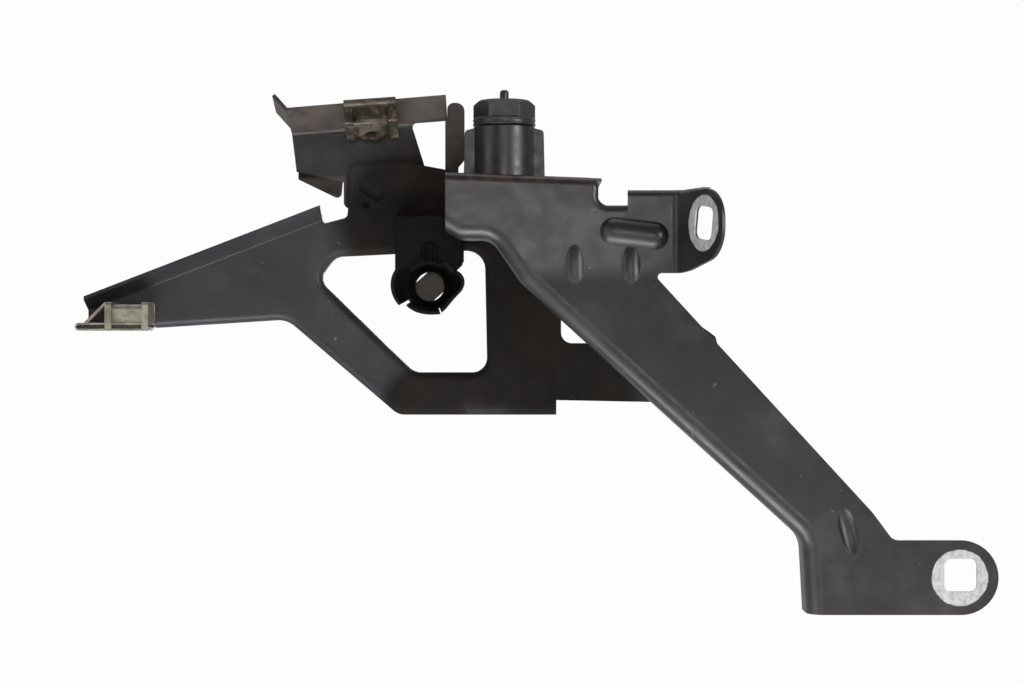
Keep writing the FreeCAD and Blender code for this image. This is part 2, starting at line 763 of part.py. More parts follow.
def tip():
    """Tip of the left arm with its level tab bent forward for the screw clip."""
    tip_x = PLATE_LEFT - LEFT_ARM
    top = PLATE_TOP - TIP_DROP + TAB_LIFT
    section = [
        (PANEL_FACE - TIP_TAB, top, 0.0),
        (PANEL_FACE, top, TIP_BEND),
        (PANEL_FACE, top + OVERRUN * 5, 0.0),
        (PANEL_FACE + SHEET, top + OVERRUN * 5, 0.0),
        (PANEL_FACE + SHEET, top - SHEET, TIP_BEND + SHEET),
        (PANEL_FACE - TIP_TAB, top - SHEET, 0.0),
    ]
    angle = prism(section, side(tip_x), vec(TIP_TAB_LENGTH, 0, 0))
    limits = [
        (tip_x, top - OVERRUN, 0.0),
        (tip_x + TIP_TAB_LENGTH, top - OVERRUN, 0.0),
        (tip_x + TIP_TAB_LENGTH, lip_line(tip_x + TIP_TAB_LENGTH), 0.0),
        (tip_x, lip_line(tip_x), 0.0),
    ]
    angle = angle.common(prism(limits, front(0), vec(0, PANEL_FACE + OVERRUN, 0)))
    centre = tip_screw()
    return angle.cut(Part.makeCylinder(SCREW_HOLE_R, OVERRUN * 2, centre - vec(0, 0, OVERRUN)))


def tip_screw():
    """Point on the axis of the tip's screw, on the top face of the tab."""
    top = PLATE_TOP - TIP_DROP + TAB_LIFT
    depth = PANEL_FACE - TIP_TAB + MOVE_GAP + CLIP_WIDTH / 2 - SEAT_GAP * 2.5
    return vec(PLATE_LEFT - LEFT_ARM + TIP_SCREW_X, depth, top)


def wing():
    """Part of the rear panel that slants forward and is welded to the back of the arm."""
    start_x = PLATE_LEFT + WING_START
    low = PLATE_TOP - PANEL_HEIGHT + WING_STEP
    high = low + WING_HEIGHT
    lean = math.tan(math.radians(WING_ANGLE))
    run = PANEL_FACE / lean
    thick = SHEET * math.hypot(1.0, lean)
    strip = [
        (start_x - SHEET, PANEL_FACE, 0.0),
        (start_x, PANEL_FACE, OVERRUN),
        (start_x + run, 0.0, 0.0),
        (start_x + run, thick, 0.0),
        (start_x + (thick - SHEET) / lean, PANEL_FACE + SHEET, OVERRUN + SHEET),
        (start_x - SHEET, PANEL_FACE + SHEET, 0.0),
    ]
    plate = prism(strip, plan(low), vec(0, 0, WING_HEIGHT))
    end_x = start_x + run
    limits = [
        (start_x - SHEET, low, 0.0),
        (end_x, low, 0.0),
        (end_x, low + WING_TAB * 0.6, 0.0),
        (end_x - WING_HEIGHT, high, OVERRUN),
        (start_x - SHEET, high, 0.0),
    ]
    behind = arm_band(SHEET, PANEL_GAP * 2)
    plate = plate.common(prism(limits, front(0), vec(0, PANEL_FACE * 2, 0))).common(behind)
    hole = [
        (start_x + WING_HOLE_IN, low + WING_HOLE_LOW, WING_HOLE_CORNER),
        (start_x + WING_HOLE_OUT, low + WING_HOLE_LOW, WING_HOLE_CORNER),
        (start_x + WING_HOLE_OUT, low + WING_HOLE_HIGH, WING_HOLE_CORNER),
        (start_x + WING_HOLE_IN, low + WING_HOLE_HIGH, WING_HOLE_CORNER),
    ]
    plate = plate.cut(prism(hole, front(0), vec(0, PANEL_FACE + OVERRUN * 3, 0)))
    landing = start_x + (PANEL_FACE - PLATE_SETBACK / 2) / lean
    pad = [
        (landing - WING_TAB * 0.5, low, 0.0),
        (landing + WING_TAB * 0.5, low, WING_TAB_ROUND),
        (landing - WING_TAB * 0.2, low + WING_TAB, WING_TAB_ROUND),
        (landing - WING_TAB * 0.5, low + WING_TAB, WING_TAB_ROUND),
    ]
    layer = behind.cut(arm_band(SHEET * 2, PANEL_GAP * 3))
    pad = prism(pad, front(0), vec(0, PANEL_FACE, 0)).common(layer)
    return plate.fuse(pad)


def rear_panel():
    sides = panel_sides()
    windows = [big_window()]
    panel = panel_form(sides, windows, 0.0).cut(panel_form(sides, windows, SHEET))
    slot_x = PLATE_LEFT - SLOT_LEFT
    slot_z = PLATE_TOP - SLOT_DROP
    half = SLOT_WIDTH / 2
    slot = [
        (-SLOT_LENGTH / 2, -half, half),
        (SLOT_LENGTH / 2, -half, half),
        (SLOT_LENGTH / 2, half, half),
        (-SLOT_LENGTH / 2, half, half),
    ]
    cutter = prism(slot, front(-OVERRUN), vec(0, OVERRUN * 2, 0))
    cutter.rotate(vec(0, 0, 0), vec(0, 1, 0), SLOT_TURN)
    cutter.translate(vec(slot_x, PANEL_FACE, slot_z))
    peep = Part.makeBox(SMALL_HOLE, OVERRUN * 2, SMALL_HOLE)
    peep.translate(vec(PLATE_LEFT - SMALL_HOLE_LEFT, PANEL_FACE - OVERRUN, PLATE_TOP - SMALL_HOLE_DROP))
    latch = socket_latch(SEAT_GAP)
    whole = panel.fuse([left_lip(), tip(), wing()]).removeSplitter()
    return whole.cut(cutter).cut(peep).cut(latch)


# Rail

def rail_corner():
    """Right end of the rail in front view and its bend line's height at the left end."""
    return PLATE_LEFT - RAIL_GAP, PLATE_TOP + RAIL_RISE


def rail():
    """Rail welded behind the panel's tab: flange, flare, wall, window, leg and toe."""
    right, bend_z = rail_corner()
    left = right - RAIL_LENGTH
    slope = math.tan(math.radians(RAIL_SLOPE))
    back = RAIL_FACE + SHEET
    edge = RAIL_FACE - RAIL_FLANGE
    fall = RAIL_FLANGE_RISE / RAIL_FLANGE
    thick = SHEET * math.hypot(1.0, fall)
    wall_end = bend_z - RAIL_WALL - OVERRUN * 2
    section = [
        (edge, bend_z + RAIL_FLANGE_RISE, 0.0),
        (edge, bend_z + RAIL_FLANGE_RISE - thick, 0.0),
        (RAIL_FACE, bend_z - thick, RAIL_BEND),
        (RAIL_FACE, wall_end, 0.0),
        (back, wall_end, 0.0),
        (back, bend_z - SHEET * fall, RAIL_BEND + SHEET),
    ]
    body = prism(section, side(left), vec(RAIL_LENGTH, 0, RAIL_LENGTH * slope))
    keep = [
        (left, bend_z + OVERRUN * 5, 0.0),
        (left, bend_z, 0.0),
        (left + RAIL_HEEL, PLATE_TOP + RAIL_HEEL_RISE, 0.0),
        (left + RAIL_STEP, PLATE_TOP - RAIL_STEP_DROP, 0.0),
        (left + RAIL_STEP, bend_z - RAIL_WALL, RAIL_STEP_ROUND),
        (right, bend_z - RAIL_WALL, 0.0),
        (right, bend_z + OVERRUN * 5, 0.0),
    ]
    body = body.common(prism(keep, front(0), vec(0, PANEL_FACE + OVERRUN * 2, 0)))
    window = [
        (right - RAIL_WINDOW_FLOOR, PLATE_TOP - 1.0, RAIL_WINDOW_ROUND),
        (right + 1.0, PLATE_TOP - 1.0, 0.0),
        (right + 1.0, bend_z + RAIL_WINDOW_TOP, 0.0),
        (right - RAIL_WINDOW, bend_z + RAIL_WINDOW_TOP - RAIL_WINDOW_FALL, RAIL_WINDOW_ROUND - 1.0),
    ]
    body = body.cut(prism(window, front(RAIL_FACE - SHEET), vec(0, OVERRUN * 2, 0)))
    shoulder = right + LEG_WIDTH - LEG_STEP
    top = PLATE_TOP + LEG_TOP
    leg = [
        (right - 1.0, top - LEG_HEIGHT, 0.0),
        (shoulder, top - LEG_HEIGHT, 1.0),
        (shoulder, PLATE_TOP + LEG_STEP_LOW, 1.0),
        (right + LEG_WIDTH, PLATE_TOP + LEG_STEP_HIGH, 1.0),
        (right + LEG_WIDTH, top, LEG_ROUND),
        (right, top, LEG_ROUND - 1.0),
        (right, bend_z + RAIL_LENGTH * slope - 1.0, 0.0),
        (right - 1.0, bend_z + RAIL_LENGTH * slope - SHEET, 0.0),
    ]
    body = body.fuse(prism(leg, front(RAIL_FACE), vec(0, SHEET, 0)))
    tilt = math.degrees(math.atan(fall))
    flare = Part.makeBox(FLARE_LENGTH + 1.0, RAIL_FLANGE - RAIL_BEND, SHEET)
    flare.translate(vec(-FLARE_LENGTH, 0, -SHEET))
    flare.rotate(vec(0, 0, 0), vec(0, 1, 0), FLARE_ANGLE)
    flare.rotate(vec(0, 0, 0), vec(1, 0, 0), -tilt)
    flare.translate(vec(left + RAIL_GAP, edge, bend_z + RAIL_FLANGE_RISE))
    toe = Part.makeBox(OVERRUN * 5, SHEET, TOE_LENGTH + 1.0)
    toe.translate(vec(0, 0, -TOE_LENGTH))
    toe.rotate(vec(0, 0, 0), vec(1, 0, 0), -TOE_ANGLE)
    toe.rotate(vec(0, 0, 0), vec(0, 1, 0), TOE_TURN)
    toe.translate(vec(left + RAIL_HEEL, RAIL_FACE, PLATE_TOP + RAIL_HEEL_RISE))
    trim = [
        (left + TOE_LEFT - 1.0, PLATE_TOP + OVERRUN * 2, 0.0),
        (left + TOE_LEFT, PLATE_TOP - TOE_CUT_TOP, 1.0),
        (left + TOE_RIGHT, PLATE_TOP - TOE_CUT_LOW, TOE_ROUND),
        (left + TOE_RIGHT, PLATE_TOP + OVERRUN * 2, 0.0),
    ]
    toe = toe.common(prism(trim, front(0), vec(0, PANEL_FACE + OVERRUN * 2, 0)))
    return body.fuse([flare, toe]).removeSplitter().cut(on_rail(screw_clearance()))


# Bonnet stop

def lifted(shape):
    shape.translate(stop_centre())
    return shape


def rim_at(shape, z):
    """Round edges lying level at a height."""
    return [e for e in shape.Edges if abs(e.BoundBox.ZMin - z) < 0.01 and abs(e.BoundBox.ZMax - z) < 0.01]


def stop_housing():
    """Drum with two wings on the shelf, shank through it and two lugs that lock below."""
    top = STOP_DRUM_H - MOVE_GAP
    drum = Part.makeCylinder(STOP_DRUM_R, top + OVERRUN, vec(0, 0, -OVERRUN))
    drum = drum.makeFillet(STOP_DRUM_EDGE, rim_at(drum, top))
    wings = []
    for way in (-1, 1):
        wing_corners = [
            (way * (STOP_DRUM_R - 2.0), -OVERRUN, 0.0),
            (way * (STOP_DRUM_R + STOP_WING + STOP_WING_SPLAY), -OVERRUN, 0.0),
            (way * (STOP_DRUM_R + STOP_WING), top - 2.0, 2.0),
            (way * (STOP_DRUM_R - 2.0), top - STOP_WING_SPLAY, 0.0),
        ]
        wings.append(prism(wing_corners, front(-STOP_WING_WIDTH / 2), vec(0, STOP_WING_WIDTH, 0)))
    above = drum.fuse(wings)
    above.translate(stop_centre())
    room = [
        (PLATE_LEFT - OVERRUN * 4, PLATE_TOP + shelf_drop(OVERRUN * 4), 0.0),
        (PLATE_LEFT + SHELF_WIDTH * 2, PLATE_TOP - shelf_drop(SHELF_WIDTH * 2), 0.0),
        (PLATE_LEFT + SHELF_WIDTH * 2, PLATE_TOP + STOP_DRUM_H * 2, 0.0),
        (PLATE_LEFT - OVERRUN * 4, PLATE_TOP + STOP_DRUM_H * 2, 0.0),
    ]
    above = above.common(prism(room, front(0), vec(0, PANEL_FACE * 2, 0)))
    shank = Part.makeCylinder(STOP_SHANK_R, STOP_SHANK_H + 2.0, vec(0, 0, -STOP_SHANK_H))
    lug_z = -SHEET - SEAT_GAP - shelf_drop(STOP_SHANK_R + STOP_LUG) - STOP_LUG_H
    lug = Part.makeBox(2 * (STOP_SHANK_R + STOP_LUG), STOP_LUG_WIDTH, STOP_LUG_H)
    lug.translate(vec(-STOP_SHANK_R - STOP_LUG, -STOP_LUG_WIDTH / 2, lug_z))
    whole = above.fuse([lifted(shank), lifted(lug)])
    bore = Part.makeCylinder(STOP_BORE_R, top * 3, vec(0, 0, -top))
    groove_width = KEY_WIDTH + 2 * THREAD_PLAY
    groove = Part.makeBox(groove_width, STOP_BORE_R + KEY_HEIGHT + THREAD_PLAY, top * 3)
    groove.translate(vec(-groove_width / 2, 0, -top))
    return whole.cut(lifted(bore)).cut(lifted(groove)).removeSplitter()


def stop_adjuster():
    """Hexagon head with a collar and a hollow threaded shank."""
    base = STOP_DRUM_H
    corner_r = HEX_FLATS / math.sqrt(3)
    turned_r = corner_r + HEX_CHAMFER_OUT
    chamfer_z = base + COLLAR_H + HEX_H - HEX_CHAMFER
    points = []
    for step in range(6):
        angle = math.radians(60 * step)
        points.append((corner_r * math.cos(angle), corner_r * math.sin(angle), HEX_EDGE))
    head = prism(points, plan(base + COLLAR_H - 0.5), vec(0, 0, HEX_H + 0.5))
    chamfer = Part.makeCone(turned_r, HEX_FLATS / 2 - HEX_EDGE, HEX_CHAMFER, vec(0, 0, chamfer_z))
    low = Part.makeCylinder(turned_r, HEX_H, vec(0, 0, chamfer_z - HEX_H))
    head = head.common(chamfer.fuse(low))
    collar = Part.makeCylinder(COLLAR_R, COLLAR_H, vec(0, 0, base))
    collar = collar.makeFillet(COLLAR_EDGE, rim_at(collar, base) + rim_at(collar, base + COLLAR_H))
    shank_r = STOP_BORE_R - THREAD_PLAY
    shank = Part.makeCylinder(shank_r, ADJUSTER_SHANK_H + 1.0, vec(0, 0, base - ADJUSTER_SHANK_H))
    whole = head.fuse([collar, shank])
    hole = Part.makeCylinder(STEM_R + THREAD_PLAY, base * 4, vec(0, 0, -base))
    return lifted(whole.cut(hole).removeSplitter())


def stop_stem():
    """Centre pin: nib on top, keyed foot below the adjuster's shank."""
    low = STOP_DRUM_H - ADJUSTER_SHANK_H - MOVE_GAP - STEM_FOOT_H
    tip = STOP_DRUM_H + COLLAR_H + HEX_H + STEM_NIB
    pin = Part.makeCylinder(STEM_R, tip - low, vec(0, 0, low))
    pin = pin.makeFillet(STEM_DOME, rim_at(pin, tip))
    foot = Part.makeCylinder(STOP_BORE_R - THREAD_PLAY, STEM_FOOT_H, vec(0, 0, low))
    key = Part.makeBox(KEY_WIDTH, STOP_BORE_R + KEY_HEIGHT, STEM_FOOT_H)
    key.translate(vec(-KEY_WIDTH / 2, 0, low))
    return lifted(pin.fuse([foot, key]).removeSplitter())


# Nut clips, built flat: the sheet's nut side is z = 0, the screw axis is the z axis

def clip_legs(ahead, behind, half):
    """Two legs astride the sheet, joined by a rounded bight at -x."""
    low = -SHEET - CLIP_SEAT - CLIP_SHEET
    upper = Part.makeBox(ahead + behind, 2 * half, CLIP_SHEET)
    upper.translate(vec(-ahead, -half, CLIP_SEAT))
    lower = Part.makeBox(ahead + behind, 2 * half, CLIP_SHEET)
    lower.translate(vec(-ahead, -half, low))
    outer = (CLIP_SEAT + CLIP_SHEET - low) / 2
    start = vec(-ahead, -half, low + outer)
    bight = Part.makeCylinder(outer, 2 * half, start, vec(0, 1, 0))
    bight = bight.cut(Part.makeCylinder(outer - CLIP_SHEET, 2 * half, start, vec(0, 1, 0)))
    side_room = Part.makeBox(outer, 2 * half, outer * 2)
    side_room.translate(vec(-ahead - outer, -half, low))
    return upper.fuse([lower, bight.common(side_room)])


def clip_hoop(x, low):
    """Strap over the nut; its near side runs down to a height, its far side to the leg."""
    half = CLIP_WIDTH / 2
    top = CLIP_SEAT + CLIP_SHEET + NUT_PLAY + NUT_HEIGHT + NUT_PLAY + CLIP_SHEET
    near = -half - CLIP_SHEET
    far = half + CLIP_SHEET
    outline = [
        (near, low, 0.0),
        (near, top, HOOP_BEND + CLIP_SHEET),
        (far, top, HOOP_BEND + CLIP_SHEET),
        (far, CLIP_SEAT, 0.0),
        (half - CLIP_SHEET, CLIP_SEAT, 0.0),
        (half - CLIP_SHEET, CLIP_SEAT + CLIP_SHEET, 0.0),
        (half, CLIP_SEAT + CLIP_SHEET, 0.0),
        (half, top - CLIP_SHEET, HOOP_BEND),
        (near + CLIP_SHEET, top - CLIP_SHEET, HOOP_BEND),
        (near + CLIP_SHEET, low, 0.0),
    ]
    return prism(outline, side(x), vec(STRAP_WIDTH, 0, 0))


def screw_clearance():
    return Part.makeCylinder(SCREW_HOLE_R, OVERRUN * 2, vec(0, 0, -OVERRUN))


def clip_nut():
    """Body of a nut that lies on the clip's leg under the straps, before its hole."""
    low = CLIP_SEAT + CLIP_SHEET + NUT_PLAY
    outline = [
        (-NUT_DEPTH / 2, low, 0.0),
        (NUT_DEPTH / 2, low, 0.0),
        (NUT_DEPTH / 2, low + NUT_HEIGHT, NUT_ROUND),
        (-NUT_DEPTH / 2, low + NUT_HEIGHT, NUT_ROUND),
    ]
    return prism(outline, side(-STRAP_SPAN / 2 + MOVE_GAP), vec(STRAP_SPAN - 2 * MOVE_GAP, 0, 0))


def threaded(body):
    return body.cut(Part.makeCylinder(SCREW_R, OVERRUN * 6, vec(0, 0, -OVERRUN)))


def on_tip(shape):
    """Put a clip piece on the level tab of the left arm."""
    shape.translate(tip_screw())
    return shape


def tip_clip():
    ahead = TIP_SCREW_X
    legs = clip_legs(ahead, TIP_TAB_LENGTH - ahead, CLIP_WIDTH / 2)
    low = -SHEET - CLIP_SEAT - CLIP_SHEET
    hoops = [clip_hoop(-STRAP_SPAN / 2, low), clip_hoop(STRAP_SPAN / 2 - STRAP_WIDTH, low)]
    top = CLIP_SEAT + CLIP_SHEET + 2 * NUT_PLAY + NUT_HEIGHT + CLIP_SHEET
    brace = [
        (-STRAP_SPAN / 2 + SEAT_GAP, top, 0.0),
        (-STRAP_SPAN / 2 - PRONG_REACH, CLIP_SEAT + CLIP_SHEET, 0.0),
        (-STRAP_SPAN / 2 - PRONG_TIP, CLIP_SEAT + CLIP_SHEET / 2, 0.0),
        (-STRAP_SPAN / 2 + SEAT_GAP, top - BRACE_DROP, 0.0),
    ]
    brace = prism(brace, front(-CLIP_WIDTH / 2 - CLIP_SHEET), vec(0, STRAP_WIDTH + CLIP_SHEET, 0))
    whole = legs.fuse(hoops + [brace]).removeSplitter()
    return on_tip(whole.cut(screw_clearance()))


def tip_clip_nut():
    return on_tip(threaded(clip_nut()))


def on_rail(shape):
    """Put a clip piece under the rail's flange, with +y of the flat piece towards the rail's wall."""
    right, bend_z = rail_corner()
    fall = RAIL_FLANGE_RISE / RAIL_FLANGE
    slope = math.tan(math.radians(RAIL_SLOPE))
    thick = SHEET * math.hypot(1.0, fall)
    back = vec(0, 1, -fall).normalize()
    along = vec(1, 0, slope).normalize()
    up = along.cross(back).normalize()
    across = back.cross(up)
    x = right - RAIL_CLIP_X - COLLAR_NUT_H * 1.3
    y = RAIL_FACE - RAIL_FLANGE + RAIL_CLIP_REACH
    z = bend_z + RAIL_FLANGE_RISE - thick - RAIL_CLIP_REACH * fall
    z += (x - right + RAIL_LENGTH) * slope
    turn = FreeCAD.Matrix(
        -across.x, back.x, -up.x, x,
        -across.y, back.y, -up.y, y,
        -across.z, back.z, -up.z, z,
        0, 0, 0, 1)
    shape.transformShape(turn)
    return shape


def rail_clip():
    """The clip's bight stands clear of the flange's front edge, which is cut upright."""
    fall = RAIL_FLANGE_RISE / RAIL_FLANGE
    reach = RAIL_CLIP_REACH * math.hypot(1.0, fall) + SHEET * fall + SEAT_GAP
    legs = clip_legs(reach, CLIP_WIDTH / 2, STRAP_SPAN / 2)
    legs.rotate(vec(0, 0, 0), vec(0, 0, 1), 90)
    hoops = [clip_hoop(-STRAP_SPAN / 2, CLIP_SEAT), clip_hoop(STRAP_SPAN / 2 - STRAP_WIDTH, CLIP_SEAT)]
    whole = legs.fuse(hoops).removeSplitter()
    return on_rail(whole.cut(screw_clearance()))


def rail_clip_nut():
    low = CLIP_SEAT + CLIP_SHEET + NUT_PLAY
    collar = Part.makeCylinder(COLLAR_NUT_R, NUT_HEIGHT + COLLAR_NUT_H, vec(0, 0, low))
    return on_rail(threaded(clip_nut().fuse(collar)))


# Locating socket

def socket_latch(grow):
    """Barbed foot of the socket that snaps through the panel."""
    x = PLATE_LEFT - SOCKET_X
    z = PLATE_TOP - SOCKET_TOP - LATCH_DROP
    width = LATCH_WIDTH + 2 * grow
    height = LATCH_HEIGHT + 2 * grow
    foot = Part.makeBox(width, SHEET * 3, height)
    foot.translate(vec(x - width / 2, PANEL_FACE - SHEET / 2, z - height / 2))
    return foot


def pin_socket():
    """Moulded block on the panel with an arched latch and a tilted funnel mouth."""
    x = PLATE_LEFT - SOCKET_X
    top = PLATE_TOP - SOCKET_TOP
    half = SOCKET_WIDTH / 2
    block_corners = [
        (x - half, top - SOCKET_HEIGHT, SOCKET_ROUND / 2),
        (x + half - SOCKET_STEP, top - SOCKET_HEIGHT, SOCKET_ROUND),
        (x + half, top - SOCKET_HEIGHT + SOCKET_STEP_RISE, SOCKET_ROUND),
        (x + half, top, 2.0),
        (x - half, top, 2.0),
    ]
    block = prism(block_corners, front(PANEL_FACE - SOCKET_BLOCK), vec(0, SOCKET_BLOCK, 0))
    axis = vec(-math.sin(math.radians(FUNNEL_YAW)), -math.cos(math.radians(FUNNEL_YAW)), 0)
    axis = vec(axis.x, axis.y, -math.tan(math.radians(FUNNEL_PITCH)))
    axis.normalize()
    mouth = vec(x - MOUTH_SHIFT, PANEL_FACE - MOUTH_DEPTH, top - MOUTH_DROP)
    deep = mouth - axis * FUNNEL_LENGTH
    outer = Part.makeCone(THROAT_R + SOCKET_WALL + FUNNEL_FLARE, MOUTH_R, FUNNEL_LENGTH, deep, axis)
    inner = Part.makeCone(THROAT_R - FUNNEL_FLARE / 2, MOUTH_R - SOCKET_WALL, FUNNEL_LENGTH, deep, axis)
    throat = Part.makeCylinder(THROAT_R, OVERRUN * 8, deep - axis * OVERRUN * 4, axis)
    body = block.fuse(outer).cut(inner).cut(throat)
    room = Part.makeBox(SOCKET_WIDTH * 3, PANEL_FACE, SOCKET_WIDTH * 3)
    room.translate(vec(x - SOCKET_WIDTH * 1.5, 0, top - SOCKET_WIDTH * 2))
    body = body.common(room)
    slit = Part.makeBox(SLIT, FUNNEL_LENGTH, MOUTH_R)
    slit.translate(vec(-SLIT / 2, -FUNNEL_LENGTH * 0.6, -MOUTH_R - SLIT_DROP))
    slit.rotate(vec(0, 0, 0), vec(0, 1, 0), SLIT_TURN)
    slit.translate(mouth)
    body = body.cut(slit)
    return body.fuse(socket_latch(0.0)).removeSplitter()


PIECES = {
    "front_arm": front_arm,
    "rear_panel": rear_panel,
    "fender_rail": rail,
    "stop_housing": stop_housing,
    "stop_adjuster": stop_adjuster,
    "stop_stem": stop_stem,
    "tip_clip": tip_clip,
    "tip_clip_nut": tip_clip_nut,
    "rail_clip": rail_clip,
    "rail_clip_nut": rail_clip_nut,
    "pin_socket": pin_socket,
}


def main():
    os.makedirs("parts", exist_ok=True)
    for node, build in PIECES.items():
        build().exportStep("parts/" + node + ".step")


main()
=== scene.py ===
import math
from collections import namedtuple

import bmesh
import bpy
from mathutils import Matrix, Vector


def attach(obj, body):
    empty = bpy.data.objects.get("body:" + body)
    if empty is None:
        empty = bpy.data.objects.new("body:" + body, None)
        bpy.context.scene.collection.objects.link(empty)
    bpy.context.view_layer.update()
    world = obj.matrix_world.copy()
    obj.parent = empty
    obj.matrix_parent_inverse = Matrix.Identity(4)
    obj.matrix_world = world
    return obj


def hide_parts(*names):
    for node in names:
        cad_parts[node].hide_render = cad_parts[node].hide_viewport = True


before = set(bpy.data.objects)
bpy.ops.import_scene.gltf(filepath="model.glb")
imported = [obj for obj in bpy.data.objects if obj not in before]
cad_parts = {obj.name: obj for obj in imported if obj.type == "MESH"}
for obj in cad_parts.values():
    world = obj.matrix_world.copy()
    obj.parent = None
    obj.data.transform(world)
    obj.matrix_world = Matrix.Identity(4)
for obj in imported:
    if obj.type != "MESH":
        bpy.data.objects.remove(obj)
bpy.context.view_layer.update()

MM = 0.001
Y_AXIS = Vector((0, 1, 0))


# Nodes and patterns shared by the finishes

SMOOTH = {"interpolation_type": "SMOOTHSTEP"}
COLOUR_RESULT = 2
PLAIN_FINENESS = 0.55
EDGE_SAMPLES = 4

# A noise pattern: its largest blobs, how finely it breaks up, and the noise values where it starts and is full
Pattern = namedtuple("Pattern", "size detail fineness starts full")
# A fine relief: spacing, how finely it breaks up, and its real height
Relief = namedtuple("Relief", "size detail height")


def srgb(text):
    """Linear colour from an sRGB hex."""
    values = []
    for i in (0, 2, 4):
        v = int(text[i:i + 2], 16) / 255
        values.append(v / 12.92 if v <= 0.04045 else ((v + 0.055) / 1.055) ** 2.4)
    return (*values, 1.0)


def add(tree, kind, inputs=None, output=0, **settings):
    """Adds a node and gives one of its outputs; an input takes a value or another node's output."""
    node = tree.nodes.new(kind)
    for name, value in settings.items():
        setattr(node, name, value)
    for key, value in (inputs or {}).items():
        if isinstance(value, bpy.types.NodeSocket):
            tree.links.new(value, node.inputs[key])
        else:
            node.inputs[key].default_value = value
    return node.outputs[output] if len(node.outputs) else None


def new_material(name):
    material = bpy.data.materials.new(name)
    material.use_nodes = True
    material.node_tree.nodes.clear()
    tree = material.node_tree
    return material, tree, add(tree, "ShaderNodeTexCoord", output="Object")


def spread(tree, coords, pattern, least=0.0, most=1.0):
    """Strength of a pattern: least between its patches, most inside them, with soft edges."""
    field = add(tree, "ShaderNodeTexNoise", {
        "Vector": coords, "Scale": 1.0 / pattern.size,
        "Detail": pattern.detail, "Roughness": pattern.fineness}, "Fac")
    return add(tree, "ShaderNodeMapRange", {
        "Value": field, "From Min": pattern.starts, "From Max": pattern.full,
        "To Min": least, "To Max": most}, **SMOOTH)


def two_tones(tree, coords, pattern, first, second, most=1.0):
    """Colour that drifts from the first tone towards the second inside the pattern's patches."""
    share = spread(tree, coords, pattern, 0.0, most)
    return add(tree, "ShaderNodeMix", {0: share, 6: srgb(first), 7: srgb(second)}, COLOUR_RESULT, data_type="RGBA")


def cover(tree, skin, amount, colour, duller=0.0):
    """Lays a colour over the skin by amount, and makes the skin duller there."""
    skin["colour"] = add(tree, "ShaderNodeMix", {0: amount, 6: skin["colour"], 7: colour},
                         COLOUR_RESULT, data_type="RGBA")
    if duller:
        skin["rough"] = add(tree, "ShaderNodeMath", {0: amount, 1: duller, 2: skin["rough"]},
                            operation="MULTIPLY_ADD")


def close_skin(tree, coords, skin, relief, specular, edge_radius):
    """Ends a material: edges that look rounded, a relief of real height, one surface."""
    edge = add(tree, "ShaderNodeBevel", {"Radius": edge_radius}, samples=EDGE_SAMPLES)
    height = add(tree, "ShaderNodeTexNoise", {
        "Vector": coords, "Scale": 1.0 / relief.size, "Detail": relief.detail, "Roughness": PLAIN_FINENESS}, "Fac")
    bump = add(tree, "ShaderNodeBump", {
        "Strength": 1.0, "Distance": relief.height, "Height": height, "Normal": edge})
    surface = add(tree, "ShaderNodeBsdfPrincipled", {
        "Base Color": skin["colour"], "Roughness": skin["rough"], "Metallic": skin["metallic"],
        "Specular IOR Level": specular, "Normal": bump})
    add(tree, "ShaderNodeOutputMaterial", {"Surface": surface})


WOBBLE_SIZE = 5 * MM
WOBBLE_DETAIL = 3.0
WOBBLE_REACH = 1.2 * MM


def near_point(tree, coords, centre, radius, soft):
    """1 inside a slightly uneven ball round a point, fading over soft."""
    away = add(tree, "ShaderNodeVectorMath", {0: coords, 1: centre}, "Value", operation="DISTANCE")
    uneven = add(tree, "ShaderNodeTexNoise", {
        "Vector": coords, "Scale": 1.0 / WOBBLE_SIZE, "Detail": WOBBLE_DETAIL, "Roughness": PLAIN_FINENESS}, "Fac")
    away = add(tree, "ShaderNodeMath", {0: uneven, 1: WOBBLE_REACH, 2: away}, operation="MULTIPLY_ADD")
    middle = radius + WOBBLE_REACH / 2
    return add(tree, "ShaderNodeMapRange", {
        "Value": away, "From Min": middle - soft, "From Max": middle, "To Min": 1.0, "To Max": 0.0}, **SMOOTH)


def height_over(tree, coords, point, normal):
    """Distance from a plane through a point, in metres."""
    away = add(tree, "ShaderNodeVectorMath", {0: coords, 1: point}, operation="SUBTRACT")
    return add(tree, "ShaderNodeVectorMath", {0: away, 1: normal}, "Value", operation="DOT_PRODUCT")


# Marks on the pressings: each is laid over a pressing's dip coat

# Depths under the sheet's front face between which a print fades out
SKIN_SIDE = (-0.8 * MM, -0.48 * MM)
RING_RADIUS = 12.6 * MM
RING_EDGE = 0.5 * MM
RING_DULLER = 0.2
RING_METALLIC = 0.25
# Middle of each washer's print and the way its face looks
WASHER_PRINTS = (
    (Vector((-0.44, 0.0, -1.05)) * MM, Vector((0, -1, 0))),
    (Vector((-112.95, -0.40, 154.6)) * MM, Vector((-0.8988, -0.4384, 0.0))))
PRINT_PATCHES = Pattern(2.5 * MM, 5.0, PLAIN_FINENESS, 0.35, 0.70)


